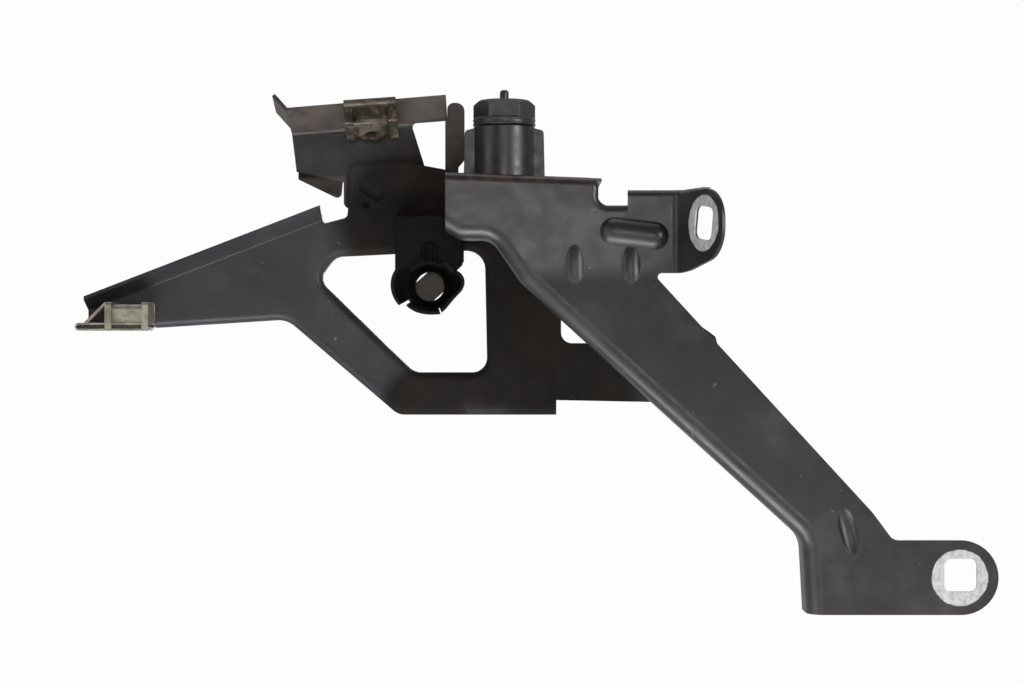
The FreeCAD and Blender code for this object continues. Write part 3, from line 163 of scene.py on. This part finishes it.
def washer_prints(tree, coords, skin):
    """Pale zinc rings on the front of foot and ear, where washers kept the coat off."""
    back, front = SKIN_SIDE
    prints = []
    for centre, normal in WASHER_PRINTS:
        ring = near_point(tree, coords, centre, RING_RADIUS, RING_EDGE)
        height = height_over(tree, coords, centre, normal)
        outer = add(tree, "ShaderNodeMapRange", {"Value": height, "From Min": back, "From Max": front}, **SMOOTH)
        prints.append(add(tree, "ShaderNodeMath", {0: ring, 1: outer}, operation="MULTIPLY"))
    bare = add(tree, "ShaderNodeMath", {0: prints[0], 1: prints[1]}, operation="MAXIMUM")
    cover(tree, skin, bare, two_tones(tree, coords, PRINT_PATCHES, "B6B6B5", "979694"), RING_DULLER)
    skin["metallic"] = add(tree, "ShaderNodeMath", {0: bare, 1: RING_METALLIC}, operation="MULTIPLY")


EDGE_RUST = Pattern(7 * MM, 5.0, 0.60, 0.42, 0.62)
EDGE_RUST_SHARE = 0.8
PLATE_TOP = (172.0 * MM, 176.5 * MM)


def rusty_top_edge(tree, coords, skin):
    """Rust that comes through along the plate's top edge."""
    low, high = PLATE_TOP
    height = add(tree, "ShaderNodeSeparateXYZ", {0: coords}, "Z")
    at_top = add(tree, "ShaderNodeMapRange", {"Value": height, "From Min": low, "From Max": high}, **SMOOTH)
    rust = spread(tree, coords, EDGE_RUST, 0.0, EDGE_RUST_SHARE)
    rust = add(tree, "ShaderNodeMath", {0: rust, 1: at_top}, operation="MULTIPLY")
    cover(tree, skin, rust, srgb("4E352B"))


# Middle and radius of each place on the rear panel that gets painted shade, seen from the front
PANEL_DEPTH = 60.0
SHADE_PLACES = ((-238.0, 158.0, 50.0), (-205.0, 110.0, 52.0), (-168.0, 80.0, 46.0), (-238.0, 70.0, 26.0))
SHADE_FADE = 0.35
SHADE_THIN = Pattern(45 * MM, 4.0, PLAIN_FINENESS, 0.20, 0.45)
SHADE_TONE_PATCHES = Pattern(45 * MM, 4.0, PLAIN_FINENESS, 0.35, 0.75)
SHADE_SHARE = (0.8, 1.0)
SHADE_DULLER = 0.45


def painted_shade_patches(tree, coords, skin):
    """Painted shade: dull brown-black laid in the shaded middle, behind the arm and round the socket."""
    shaded = 0.0
    for x, z, radius in SHADE_PLACES:
        middle = Vector((x, PANEL_DEPTH, z)) * MM
        place = near_point(tree, coords, middle, radius * MM, radius * SHADE_FADE * MM)
        shaded = add(tree, "ShaderNodeMath", {0: shaded, 1: place}, operation="MAXIMUM")
    thin = spread(tree, coords, SHADE_THIN, *SHADE_SHARE)
    shaded = add(tree, "ShaderNodeMath", {0: shaded, 1: thin}, operation="MULTIPLY")
    cover(tree, skin, shaded, two_tones(tree, coords, SHADE_TONE_PATCHES, "0D0A08", "1A130E"), SHADE_DULLER)


SCRAPE_MIDDLE = Vector((-337.5, 60.0, 110.65)) * MM
SCRAPE_SQUEEZE = Vector((0.1, 0.6, 1.3))
SCRAPE_EDGE = (0.9 * MM, 1.3 * MM)


def scraped_arm(tree, coords, skin):
    """Long thin scrape down to pale metal on the left arm's lower edge."""
    low, high = SCRAPE_EDGE
    away = add(tree, "ShaderNodeVectorMath", {0: coords, 1: SCRAPE_MIDDLE}, operation="SUBTRACT")
    away = add(tree, "ShaderNodeVectorMath", {0: away, 1: SCRAPE_SQUEEZE}, operation="MULTIPLY")
    reach = add(tree, "ShaderNodeVectorMath", {0: away}, "Value", operation="LENGTH")
    scrape = add(tree, "ShaderNodeMapRange", {
        "Value": reach, "From Min": low, "From Max": high, "To Min": 1.0, "To Max": 0.0}, **SMOOTH)
    grain = add(tree, "ShaderNodeTexNoise", {
        "Vector": coords, "Scale": 1.0 / ORANGE_PEEL.size,
        "Detail": ORANGE_PEEL.detail, "Roughness": PLAIN_FINENESS}, "Fac")
    metal = add(tree, "ShaderNodeMix", {0: grain, 6: srgb("8C7F78"), 7: srgb("B3AAA4")},
                COLOUR_RESULT, data_type="RGBA")
    cover(tree, skin, scrape, metal)


RAIL_CLIP_SEAT = Vector((-262.35, 49.8, 208.35)) * MM
RAIL_UP = Vector((-0.08194, 0.0, 0.99664))
# Heights over the rail clip's seat where the painted reflection and dust start: up to the flange, down to the toe
FLANGE_FOLD = (-5.5 * MM, -3.0 * MM)
TOE_FOLD = (-25.0 * MM, -28.0 * MM)
# Places along the rail where the toe ends and the leg starts
TOE_END = (-274.0 * MM, -277.0 * MM)
LEG_START = (-229.0 * MM, -227.5 * MM)
REFLECTION_AND_DUST_PATCHES = Pattern(10 * MM, 5.0, 0.60, 0.25, 0.60)
REFLECTION_AND_DUST_SHARE = (0.12, 0.36)
REFLECTION_AND_DUST_DULLER = 0.4


def flange_reflection_and_dust(tree, coords, skin):
    """Pale grey-brown on the rail's flange, toe and leg, leaving its wall dark: painted reflected light on the
    flange's underside, with dust.
    """
    height = height_over(tree, coords, RAIL_CLIP_SEAT, RAIL_UP)
    across = add(tree, "ShaderNodeSeparateXYZ", {0: coords}, "X")
    ends = ((height, FLANGE_FOLD), (height, TOE_FOLD), (across, TOE_END), (across, LEG_START))
    flange, below_wall, left_of_tab, leg = [
        add(tree, "ShaderNodeMapRange", {"Value": value, "From Min": low, "From Max": high}, **SMOOTH)
        for value, (low, high) in ends]
    toe = add(tree, "ShaderNodeMath", {0: below_wall, 1: left_of_tab}, operation="MULTIPLY")
    pale_share = add(tree, "ShaderNodeMath", {0: toe, 1: leg}, operation="MAXIMUM")
    pale_share = add(tree, "ShaderNodeMath", {0: flange, 1: pale_share}, operation="MAXIMUM")
    thin = spread(tree, coords, REFLECTION_AND_DUST_PATCHES, *REFLECTION_AND_DUST_SHARE)
    pale_share = add(tree, "ShaderNodeMath", {0: pale_share, 1: thin}, operation="MULTIPLY")
    cover(tree, skin, pale_share, srgb("746A62"), REFLECTION_AND_DUST_DULLER)


# Finishes

COAT_TONES = Pattern(45 * MM, 4.0, PLAIN_FINENESS, 0.35, 0.65)
COAT_DULLER = Pattern(9 * MM, 4.0, PLAIN_FINENESS, 0.30, 0.70)
COAT_ROUGHNESS = (0.32, 0.42)
COAT_EDGE = 0.35 * MM
ORANGE_PEEL = Relief(1.6 * MM, 2.0, 0.035 * MM)
ROAD_DUST = Pattern(22 * MM, 6.0, 0.65, 0.50, 0.78)
ROAD_DUST_DULLER = 0.5
SCRATCHES = Pattern(14 * MM, 8.0, 0.70, 0.70, 0.76)
SCRATCH_SHARE = 0.35
SCRATCH_LEAN = (0.3, 0.6, 0.2)
SCRATCH_STRETCH = (1.0, 1.0, 14.0)
SPECKS = Pattern(3.2 * MM, 2.0, PLAIN_FINENESS, 0.73, 0.77)
SPECK_SHARE = 0.4


def painted_steel(name, tone, worn, dust_share, specular, marks):
    """Pressed steel with a black dip coat: satin, faint orange peel, handling scratches, patchy road dust."""
    material, tree, coords = new_material(name)
    skin = {
        "colour": two_tones(tree, coords, COAT_TONES, tone, worn),
        "rough": spread(tree, coords, COAT_DULLER, *COAT_ROUGHNESS), "metallic": 0.0}
    cover(tree, skin, spread(tree, coords, ROAD_DUST, 0.0, dust_share), srgb("6A6258"), ROAD_DUST_DULLER)
    drawn_out = add(tree, "ShaderNodeMapping", {
        "Vector": coords, "Rotation": SCRATCH_LEAN, "Scale": SCRATCH_STRETCH})
    cover(tree, skin, spread(tree, drawn_out, SCRATCHES, 0.0, SCRATCH_SHARE), srgb("77757A"))
    cover(tree, skin, spread(tree, coords, SPECKS, 0.0, SPECK_SHARE), srgb("8A8780"))
    for mark in marks:
        mark(tree, coords, skin)
    close_skin(tree, coords, skin, ORANGE_PEEL, specular, COAT_EDGE)
    return material


PLATING_TONES = Pattern(6 * MM, 5.0, PLAIN_FINENESS, 0.35, 0.70)
PLATING_DULLER = Pattern(6 * MM, 5.0, PLAIN_FINENESS, 0.30, 0.70)
PLATING_ROUGHNESS = (0.42, 0.55)
PLATING_RELIEF = Relief(1.2 * MM, 4.0, 0.05 * MM)
PLATING_EDGE = 0.15 * MM
PLATING_SPECULAR = 0.5
PLATING_METALLIC = 0.75
RUST_BLOOMS = Pattern(4 * MM, 6.0, 0.70, 0.0, 0.12)
RUST_SHARE = 0.8
RUST_DULLER = 0.3
RUST_METALLIC = 0.1


def zinc_plated_spring_steel(name, bright, dull, rust_starts):
    """Stamped spring steel, zinc plated: soft grey shine, cloudy tone, brown rust blooming through in spots."""
    material, tree, coords = new_material(name)
    skin = {
        "colour": two_tones(tree, coords, PLATING_TONES, bright, dull),
        "rough": spread(tree, coords, PLATING_DULLER, *PLATING_ROUGHNESS)}
    bloom = RUST_BLOOMS._replace(
        starts=rust_starts + RUST_BLOOMS.starts, full=rust_starts + RUST_BLOOMS.full)
    rust = spread(tree, coords, bloom, 0.0, RUST_SHARE)
    cover(tree, skin, rust, srgb("5E4634"), RUST_DULLER)
    skin["metallic"] = add(tree, "ShaderNodeMapRange", {
        "Value": rust, "From Min": 0.0, "From Max": RUST_SHARE,
        "To Min": PLATING_METALLIC, "To Max": RUST_METALLIC}, **SMOOTH)
    close_skin(tree, coords, skin, PLATING_RELIEF, PLATING_SPECULAR, PLATING_EDGE)
    return material


PLASTIC_DUST = Pattern(12 * MM, 5.0, PLAIN_FINENESS, 0.45, 0.75)
PLASTIC_DUST_SHARE = 0.5
SCUFFS = Pattern(5 * MM, 4.0, PLAIN_FINENESS, 0.30, 0.70)
SCUFF_DULLER = 0.14
# Real spark-eroded grain is about 0.1 mm; drawn coarser, as it needs to show
MOULD_GRAIN = 0.45 * MM
MOULD_EDGE = 0.3 * MM


def moulded_plastic(name, tone, dusty, roughness, grain_height, specular=0.5):
    """Black plastic from a spark-eroded mould: even fine grain, a little dust, scuffs that dull it."""
    material, tree, coords = new_material(name)
    skin = {
        "colour": two_tones(tree, coords, PLASTIC_DUST, tone, dusty, PLASTIC_DUST_SHARE),
        "rough": spread(tree, coords, SCUFFS, roughness, roughness + SCUFF_DULLER), "metallic": 0.0}
    close_skin(tree, coords, skin, Relief(MOULD_GRAIN, 2.0, grain_height), specular, MOULD_EDGE)
    return material


def paint_nodes(material, *names):
    for name in names:
        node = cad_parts[name]
        node.data.materials.clear()
        node.data.materials.append(material)


# Satin black with a grey sheen where the light grazes it, the two pale rings and a rusty top edge
ARM_COAT = painted_steel(
    "satin_black_dip_coat", "1D1A1A", "262324", dust_share=0.12, specular=0.5,
    marks=(washer_prints, rusty_top_edge))
paint_nodes(ARM_COAT, "front_arm")
# A little bluer and duller than the arm, with brown dirt in the sheltered middle
PANEL_COAT = painted_steel(
    "dull_black_dip_coat", "27272A", "303033", dust_share=0.08, specular=0.2,
    marks=(painted_shade_patches, scraped_arm))
paint_nodes(PANEL_COAT, "rear_panel")
# Dark wall, with the painted shade patches reaching it, under a flange painted pale as reflected light with dust
RAIL_COAT = painted_steel(
    "dip_coat_with_dust_painted_shade_and_reflection", "151416", "1E1C1D", dust_share=0.15, specular=0.3,
    marks=(painted_shade_patches, flange_reflection_and_dust))
paint_nodes(RAIL_COAT, "fender_rail")
# Pale grey-yellow zinc, only touched by rust
TIP_ZINC = zinc_plated_spring_steel("dull_zinc_plated_spring_steel", "969282", "6E6A5C", rust_starts=0.56)
paint_nodes(TIP_ZINC, "tip_clip", "tip_clip_nut")
# The same plating, darker and browner
DARKER_ZINC = zinc_plated_spring_steel("darker_zinc_plated_spring_steel", "545046", "3C3831", rust_starts=0.50)
paint_nodes(DARKER_ZINC, "rail_clip", "rail_clip_nut")
# Glass-filled nylon shines softly and shows its grain
HOUSING_NYLON = moulded_plastic(
    "black_glass_filled_nylon", "1D1B1A", "2E2C2A", roughness=0.30, grain_height=0.02 * MM)
paint_nodes(HOUSING_NYLON, "stop_housing")
# Acetal is smoother and a shade lighter than the nylon
STOP_ACETAL = moulded_plastic("black_acetal", "1E1D1D", "302E2D", roughness=0.34, grain_height=0.015 * MM)
paint_nodes(STOP_ACETAL, "stop_adjuster", "stop_stem")
# Matte black polypropylene, made near black as painted shade, since the socket sits in the front plate's shadow
SOCKET_PLASTIC = moulded_plastic(
    "matte_black_polypropylene_painted_shade", "080706", "12100E", roughness=0.5, grain_height=0.03 * MM, specular=0.12)
paint_nodes(SOCKET_PLASTIC, "pin_socket")
# Painted light: the strap's tone is raised to a lit grey, as it catches light from behind inside the throat's
# shade
PAINTED_LIT_STRAP = moulded_plastic(
    "painted_lit_grey_polypropylene", "776C63", "8A7E74", roughness=0.55, grain_height=0.03 * MM, specular=0.35)


# Pieces that the solids only hint at

def smooth_by_angle(mesh, degrees):
    for face in mesh.polygons:
        face.use_smooth = True
    mesh.set_sharp_from_angle(angle=math.radians(degrees))


def new_piece(name, mesh, material, body):
    """Object of a finished mesh, at the origin, carried by a body."""
    mesh.materials.clear()
    mesh.materials.append(material)
    piece = bpy.data.objects.new(name, mesh)
    bpy.context.scene.collection.objects.link(piece)
    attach(piece, body)
    return piece


RAIL_CLIP_AXIS = Vector((0.07611, -0.37031, -0.92578))
RAIL_ALONG = Vector((0.99664, 0.0, 0.08194))
CAGE_TOP = 9.6 * MM
CAGE_SQUAT = 0.9
COLLAR_SQUAT = 0.35
CAGE_WIDEN = 1.2
SAME_POINT = 0.001 * MM
CLIP_CREASE = 30.0


def squat_rail_piece(name, node, material):
    """The clip under the rail as the wider, flatter pressing with a short nut collar that it is."""
    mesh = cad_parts[node].data.copy()
    form = bmesh.new()
    form.from_mesh(mesh)
    bmesh.ops.remove_doubles(form, verts=form.verts, dist=SAME_POINT)
    for vert in form.verts:
        away = vert.co - RAIL_CLIP_SEAT
        depth = away.dot(RAIL_CLIP_AXIS)
        side = away.dot(RAIL_ALONG)
        cage = max(min(depth, CAGE_TOP), 0.0)
        collar = max(depth - CAGE_TOP, 0.0)
        moved = cage * (CAGE_SQUAT - 1) + collar * (COLLAR_SQUAT - 1)
        vert.co += RAIL_CLIP_AXIS * moved + RAIL_ALONG * side * (CAGE_WIDEN - 1)
    form.to_mesh(mesh)
    form.free()
    smooth_by_angle(mesh, CLIP_CREASE)
    piece = new_piece(name, mesh, material, "bracket")
    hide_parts(node)


squat_rail_piece("rail_spring_clip", "rail_clip", DARKER_ZINC)
squat_rail_piece("rail_nut", "rail_clip_nut", DARKER_ZINC)

SOCKET_X = -235.4 * MM
SOCKET_Z = 128.4 * MM
SOCKET_WALL = 1.5 * MM
SOCKET_CREASE = 40.0
THROAT_RADIUS = 7.0 * MM
THROAT_BACK = 67.0 * MM
THROAT_FRONT = 54.0 * MM
THROAT_STEP = 6
FUNNEL_RING = 47.0 * MM
MOUTH_FRONT = 35.5 * MM
RING_FLARE = 3.0 * MM
# Petals of the mouth: first and last angle seen from the front, then reach at the first, midway and at the last
PETALS = (
    (141, 215, 15.6, 17.0, 16.2), (223, 294, 13.6, 13.4, 14.6), (297, 345, 14.2, 13.4, 15.0),
    (345, 389, 15.0, 17.0, 14.2), (29, 60, 14.2, 13.6, 12.5))
PETAL_ROWS = 8
PETAL_PARTS = 16
PETAL_CURL = 0.8
PETAL_CORNER = 0.06
PETAL_CORNER_POWER = 6
BLOCK_LEFT = -251.4 * MM
BLOCK_RIGHT = -219.4 * MM
BLOCK_LOW = 135.1 * MM
BLOCK_TOP = 161.9 * MM
BLOCK_FRONT = 52.1 * MM
BLOCK_BACK = 59.9 * MM
BLOCK_STEP = 4.0 * MM
BLOCK_ROUND = 0.9 * MM
BLOCK_ROUND_STEPS = 3
RIB_FOOT = 139.0 * MM
# Width, height and radius of the outer and the inner loop rib
LOOP_RIBS = ((5.6 * MM, 9.0 * MM, 0.8 * MM), (2.0 * MM, 6.5 * MM, 0.6 * MM))
RIB_STEPS = 12
RIB_SIDES = 10


def socket_point(angle, radius, depth):
    turn = math.radians(angle)
    return Vector((SOCKET_X + radius * math.cos(turn), depth, SOCKET_Z + radius * math.sin(turn)))


def add_shell(form, rows, closed):
    """Closed wall on rows of (angle, radius, depth), thickened outwards; a closed one runs all round."""
    inner = [[form.verts.new(socket_point(*point)) for point in row] for row in rows]
    outer = [[form.verts.new(socket_point(a, r + SOCKET_WALL, d)) for a, r, d in row] for row in rows]
    count = len(rows[0])
    steps = count if closed else count - 1
    for i in range(len(rows) - 1):
        for j in range(steps):
            k = (j + 1) % count
            form.faces.new((inner[i][j], inner[i][k], inner[i + 1][k], inner[i + 1][j]))
            form.faces.new((outer[i][j], outer[i + 1][j], outer[i + 1][k], outer[i][k]))
    for i, flip in ((0, True), (len(rows) - 1, False)):
        for j in range(steps):
            k = (j + 1) % count
            ring = (inner[i][j], outer[i][j], outer[i][k], inner[i][k])
            form.faces.new(ring if flip else tuple(reversed(ring)))
    if not closed:
        for j, flip in ((0, False), (count - 1, True)):
            for i in range(len(rows) - 1):
                side = (inner[i][j], inner[i + 1][j], outer[i + 1][j], outer[i][j])
                form.faces.new(tuple(reversed(side)) if flip else side)


def petal_rows(first, last, reach_first, reach_middle, reach_last):
    """Rows of one petal, from the flared ring out to the mouth's edge, its two corners drawn back."""
    start = THROAT_RADIUS + RING_FLARE
    rows = []
    for step in range(PETAL_ROWS + 1):
        out = step / PETAL_ROWS
        row = []
        for part in range(PETAL_PARTS + 1):
            along = part / PETAL_PARTS
            bulge = 4 * along * (1 - along)
            straight = reach_first * (1 - along) + reach_last * along
            reach = straight * (1 - bulge) + reach_middle * bulge
            radius = start + (reach * MM - SOCKET_WALL - start) * out ** PETAL_CURL
            corner = PETAL_CORNER * (2 * along - 1) ** PETAL_CORNER_POWER * out
            depth = FUNNEL_RING + (MOUTH_FRONT - FUNNEL_RING) * (out - corner)
            row.append((first + (last - first) * along, radius, depth))
        rows.append(row)
    return rows


def add_block(form):
    """Block that hooks into the panel over the window, its lower right corner stepped."""
    outline = [
        (BLOCK_LEFT, BLOCK_LOW), (BLOCK_RIGHT - BLOCK_STEP, BLOCK_LOW), (BLOCK_RIGHT, BLOCK_LOW + BLOCK_STEP),
        (BLOCK_RIGHT, BLOCK_TOP), (BLOCK_LEFT, BLOCK_TOP)]
    front = [form.verts.new((x, BLOCK_FRONT, z)) for x, z in outline]
    back = [form.verts.new((x, BLOCK_BACK, z)) for x, z in outline]
    faces = [form.faces.new(front), form.faces.new(list(reversed(back)))]
    for i in range(len(outline)):
        j = (i + 1) % len(outline)
        faces.append(form.faces.new((front[j], front[i], back[i], back[j])))
    edges = list({edge for face in faces for edge in face.edges})
    bmesh.ops.bevel(form, geom=edges, offset=BLOCK_ROUND, segments=BLOCK_ROUND_STEPS, affect="EDGES")


def add_loop_rib(form, width, height, radius):
    """Loop rib on the block's face: two legs and a round top."""
    bend = width / 2
    top = RIB_FOOT + height - bend
    path = [Vector((SOCKET_X - bend, BLOCK_FRONT, RIB_FOOT))]
    for step in range(RIB_STEPS + 1):
        turn = math.pi - math.pi * step / RIB_STEPS
        path.append(Vector((SOCKET_X + bend * math.cos(turn), BLOCK_FRONT, top + bend * math.sin(turn))))
    path.append(Vector((SOCKET_X + bend, BLOCK_FRONT, RIB_FOOT)))
    rings = []
    for i, point in enumerate(path):
        ahead = (path[min(i + 1, len(path) - 1)] - path[max(i - 1, 0)]).normalized()
        across = ahead.cross(Y_AXIS).normalized()
        ring = []
        for step in range(RIB_SIDES):
            turn = 2 * math.pi * step / RIB_SIDES
            away = across * math.cos(turn) + Y_AXIS * math.sin(turn)
            ring.append(form.verts.new(point + away * radius))
        rings.append(ring)
    for low, high in zip(rings, rings[1:]):
        for j in range(RIB_SIDES):
            k = (j + 1) % RIB_SIDES
            form.faces.new((low[j], low[k], high[k], high[j]))
    form.faces.new(list(reversed(rings[0])))
    form.faces.new(rings[-1])


def pin_socket_moulding():
    """Locating socket: hooked block, throat, flared ring and the split mouth's petals."""
    form = bmesh.new()
    throat = [
        (THROAT_RADIUS, THROAT_BACK), (THROAT_RADIUS, THROAT_FRONT),
        (THROAT_RADIUS + RING_FLARE / 2, (THROAT_FRONT + FUNNEL_RING) / 2),
        (THROAT_RADIUS + RING_FLARE, FUNNEL_RING)]
    angles = range(0, 360, THROAT_STEP)
    add_shell(form, [[(a, radius, depth) for a in angles] for radius, depth in throat], True)
    for petal in PETALS:
        add_shell(form, petal_rows(*petal), False)
    add_block(form)
    for rib in LOOP_RIBS:
        add_loop_rib(form, *rib)
    bmesh.ops.recalc_face_normals(form, faces=form.faces)
    mesh = bpy.data.meshes.new("pin_socket_moulding")
    form.to_mesh(mesh)
    form.free()
    smooth_by_angle(mesh, SOCKET_CREASE)
    piece = new_piece("pin_socket_moulding", mesh, SOCKET_PLASTIC, "bracket")
    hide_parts("pin_socket")


STRAP_DEPTH = 64.0 * MM
STRAP_THICK = 1.2 * MM
STRAP_HALF = 5.9 * MM
STRAP_TURN = math.radians(42.0)
STRAP_ROUND = 0.3 * MM
STRAP_ROUND_STEPS = 2


def socket_strap():
    """Thin strap across the back of the throat; daylight shows past two corners of it."""
    reach = THROAT_RADIUS + SOCKET_WALL / 2
    form = bmesh.new()
    bmesh.ops.create_cube(form, size=1.0)
    for vert in form.verts:
        flat = Vector((vert.co.x * 2 * reach, vert.co.y * STRAP_THICK, vert.co.z * 2 * STRAP_HALF))
        vert.co = Vector((
            SOCKET_X + flat.x * math.cos(STRAP_TURN) - flat.z * math.sin(STRAP_TURN), STRAP_DEPTH + flat.y,
            SOCKET_Z + flat.x * math.sin(STRAP_TURN) + flat.z * math.cos(STRAP_TURN)))
    bmesh.ops.bevel(
        form, geom=form.edges[:], offset=STRAP_ROUND, segments=STRAP_ROUND_STEPS, affect="EDGES")
    bmesh.ops.recalc_face_normals(form, faces=form.faces)
    mesh = bpy.data.meshes.new("socket_strap")
    form.to_mesh(mesh)
    form.free()
    new_piece("socket_strap", mesh, PAINTED_LIT_STRAP, "bracket")


pin_socket_moulding()
socket_strap()

STOP_X = -200.4 * MM
STOP_Y = 42.0 * MM
LIP_START = 202.1 * MM
LIP_SIZES = {"Radius": 13.95 * MM, "Lip": 0.55 * MM, "Pitch": 2.1 * MM, "Count": 2}
LIP_STEPS = 96
LIP_SIDES = 12
LIP_CREASE = 60.0


def collar_lips():
    """Two thin lips round the adjuster's collar, a ring repeated up the stop's axis."""
    tree = bpy.data.node_groups.new("collar_lips", "GeometryNodeTree")
    for label, size in LIP_SIZES.items():
        kind = "NodeSocketInt" if isinstance(size, int) else "NodeSocketFloat"
        tree.interface.new_socket(label, in_out="INPUT", socket_type=kind)
    tree.interface.new_socket("Geometry", in_out="OUTPUT", socket_type="NodeSocketGeometry")
    given = add(tree, "NodeGroupInput").node.outputs
    circle = add(tree, "GeometryNodeCurvePrimitiveCircle", {"Resolution": LIP_STEPS, "Radius": given["Radius"]})
    profile = add(tree, "GeometryNodeCurvePrimitiveCircle", {"Resolution": LIP_SIDES, "Radius": given["Lip"]})
    ring = add(tree, "GeometryNodeCurveToMesh", {"Curve": circle, "Profile Curve": profile})
    step = add(tree, "ShaderNodeCombineXYZ", {"Z": given["Pitch"]})
    line = add(tree, "GeometryNodeMeshLine", {"Count": given["Count"], "Offset": step})
    rings = add(tree, "GeometryNodeInstanceOnPoints", {"Points": line, "Instance": ring})
    real = add(tree, "GeometryNodeRealizeInstances", {"Geometry": rings})
    finished = add(tree, "GeometryNodeSetMaterial", {"Geometry": real, "Material": STOP_ACETAL})
    add(tree, "NodeGroupOutput", {"Geometry": finished})
    holder = bpy.data.objects.new("collar_lips_source", bpy.data.meshes.new("collar_lips_source"))
    bpy.context.scene.collection.objects.link(holder)
    modifier = holder.modifiers.new("lips", "NODES")
    modifier.node_group = tree
    for item in tree.interface.items_tree:
        if item.in_out == "INPUT":
            modifier[item.identifier] = LIP_SIZES[item.name]
    placed = bpy.data.meshes.new_from_object(holder.evaluated_get(bpy.context.evaluated_depsgraph_get()))
    bpy.data.objects.remove(holder)
    for vert in placed.vertices:
        vert.co += Vector((STOP_X, STOP_Y, LIP_START))
    smooth_by_angle(placed, LIP_CREASE)
    new_piece("collar_lips", placed, STOP_ACETAL, "adjuster")


collar_lips()


# Light, floor, room and camera

MIDDLE = (-0.19, 0.02, 0.10)
# Place, what it is aimed at, width, height and watts
SOFTBOXES = {
    "key_right": ((0.90, -0.95, 0.30), MIDDLE, 0.5, 0.8, 15),
    "front": ((-0.20, -1.50, 0.20), MIDDLE, 0.5, 0.4, 4),
    "low_left": ((-0.95, -0.75, -0.22), MIDDLE, 0.5, 0.5, 1.5),
    "left": ((-1.25, -0.55, 0.40), (-0.12, 0.0, 0.15), 0.5, 0.5, 2),
    "below": ((-0.30, -0.12, -0.28), (-0.27, 0.05, 0.20), 0.5, 0.3, 4),
    "top": ((-0.20, 0.15, 1.30), MIDDLE, 1.2, 0.8, 4),
    "back": ((-0.30, 1.40, 0.35), MIDDLE, 0.8, 0.6, 7),
}


def softbox(name, place, target, width, height, power):
    light = bpy.data.lights.new(name, "AREA")
    light.shape = "RECTANGLE"
    light.size = width
    light.size_y = height
    light.energy = power
    lamp = bpy.data.objects.new(name, light)
    lamp.location = place
    lamp.rotation_euler = (Vector(target) - Vector(place)).to_track_quat("-Z", "Y").to_euler()
    bpy.context.scene.collection.objects.link(lamp)


for softbox_name, settings in SOFTBOXES.items():
    softbox(softbox_name, *settings)

PAPER_WHITE = "FDFDFD"
# Share of the white that shows in reflections
MIRRORED = 0.45
FLOOR_REACH = 3.0
FLOOR_HEIGHT = -0.30
HORIZON_FADE = 0.4


def pale_floor():
    """Floor that is plain white to the camera, dimmer in reflections and grey to all other light."""
    mesh = bpy.data.meshes.new("floor")
    corners = [(x * FLOOR_REACH, y * FLOOR_REACH, FLOOR_HEIGHT) for x, y in ((-1, -1), (1, -1), (1, 1), (-1, 1))]
    mesh.from_pydata(corners, [], [(0, 1, 2, 3)])
    floor = bpy.data.objects.new("floor", mesh)
    bpy.context.scene.collection.objects.link(floor)
    material = bpy.data.materials.new("pale_floor")
    material.use_nodes = True
    tree = material.node_tree
    tree.nodes.clear()
    path = add(tree, "ShaderNodeLightPath").node.outputs
    mirrored = add(tree, "ShaderNodeMath", {0: path["Is Glossy Ray"], 1: MIRRORED}, operation="MULTIPLY")
    seen = add(tree, "ShaderNodeMath", {0: path["Is Camera Ray"], 1: mirrored}, operation="MAXIMUM")
    grey = add(tree, "ShaderNodeBsdfDiffuse", {"Color": srgb("C8C8C8")})
    white = add(tree, "ShaderNodeEmission", {"Color": srgb(PAPER_WHITE), "Strength": 1.0})
    both = add(tree, "ShaderNodeMixShader", {0: seen, 1: grey, 2: white})
    add(tree, "ShaderNodeOutputMaterial", {"Surface": both})
    mesh.materials.append(material)


def studio_world():
    """Dim grey room, plain white to the camera and, behind the part, in reflections."""
    world = bpy.data.worlds.new("studio")
    world.use_nodes = True
    tree = world.node_tree
    tree.nodes.clear()
    path = add(tree, "ShaderNodeLightPath").node.outputs
    direction = add(tree, "ShaderNodeTexCoord", output="Generated")
    depth = add(tree, "ShaderNodeSeparateXYZ", {0: direction}, "Y")
    behind = add(tree, "ShaderNodeMapRange", {
        "Value": depth, "From Min": 0.0, "From Max": HORIZON_FADE, "To Min": 0.0, "To Max": MIRRORED}, **SMOOTH)
    behind = add(tree, "ShaderNodeMath", {0: behind, 1: path["Is Glossy Ray"]}, operation="MULTIPLY")
    seen = add(tree, "ShaderNodeMath", {0: behind, 1: path["Is Camera Ray"]}, operation="MAXIMUM")
    colour = add(tree, "ShaderNodeMix", {0: seen, 6: srgb("505052"), 7: srgb(PAPER_WHITE)},
                 COLOUR_RESULT, data_type="RGBA")
    background = add(tree, "ShaderNodeBackground", {"Color": colour, "Strength": 1.0})
    add(tree, "ShaderNodeOutputWorld", {"Surface": background})
    bpy.context.scene.world = world


LENS = 66.8
SENSOR_WIDTH = 36.0
NEAREST_SEEN = 0.05
CAMERA_PLACE = (-0.19684, -0.83333, 0.10281)


def photo_camera():
    """Camera of the photograph: level, straight on, about 0.83 m from the foot's face."""
    data = bpy.data.cameras.new("camera")
    data.lens = LENS
    data.sensor_width = SENSOR_WIDTH
    data.clip_start = NEAREST_SEEN
    camera = bpy.data.objects.new("camera", data)
    camera.location = CAMERA_PLACE
    camera.rotation_euler = (math.radians(90), 0, 0)
    bpy.context.scene.collection.objects.link(camera)
    bpy.context.scene.camera = camera


pale_floor()
studio_world()
photo_camera()
bpy.context.scene.view_settings.view_transform = "Standard"
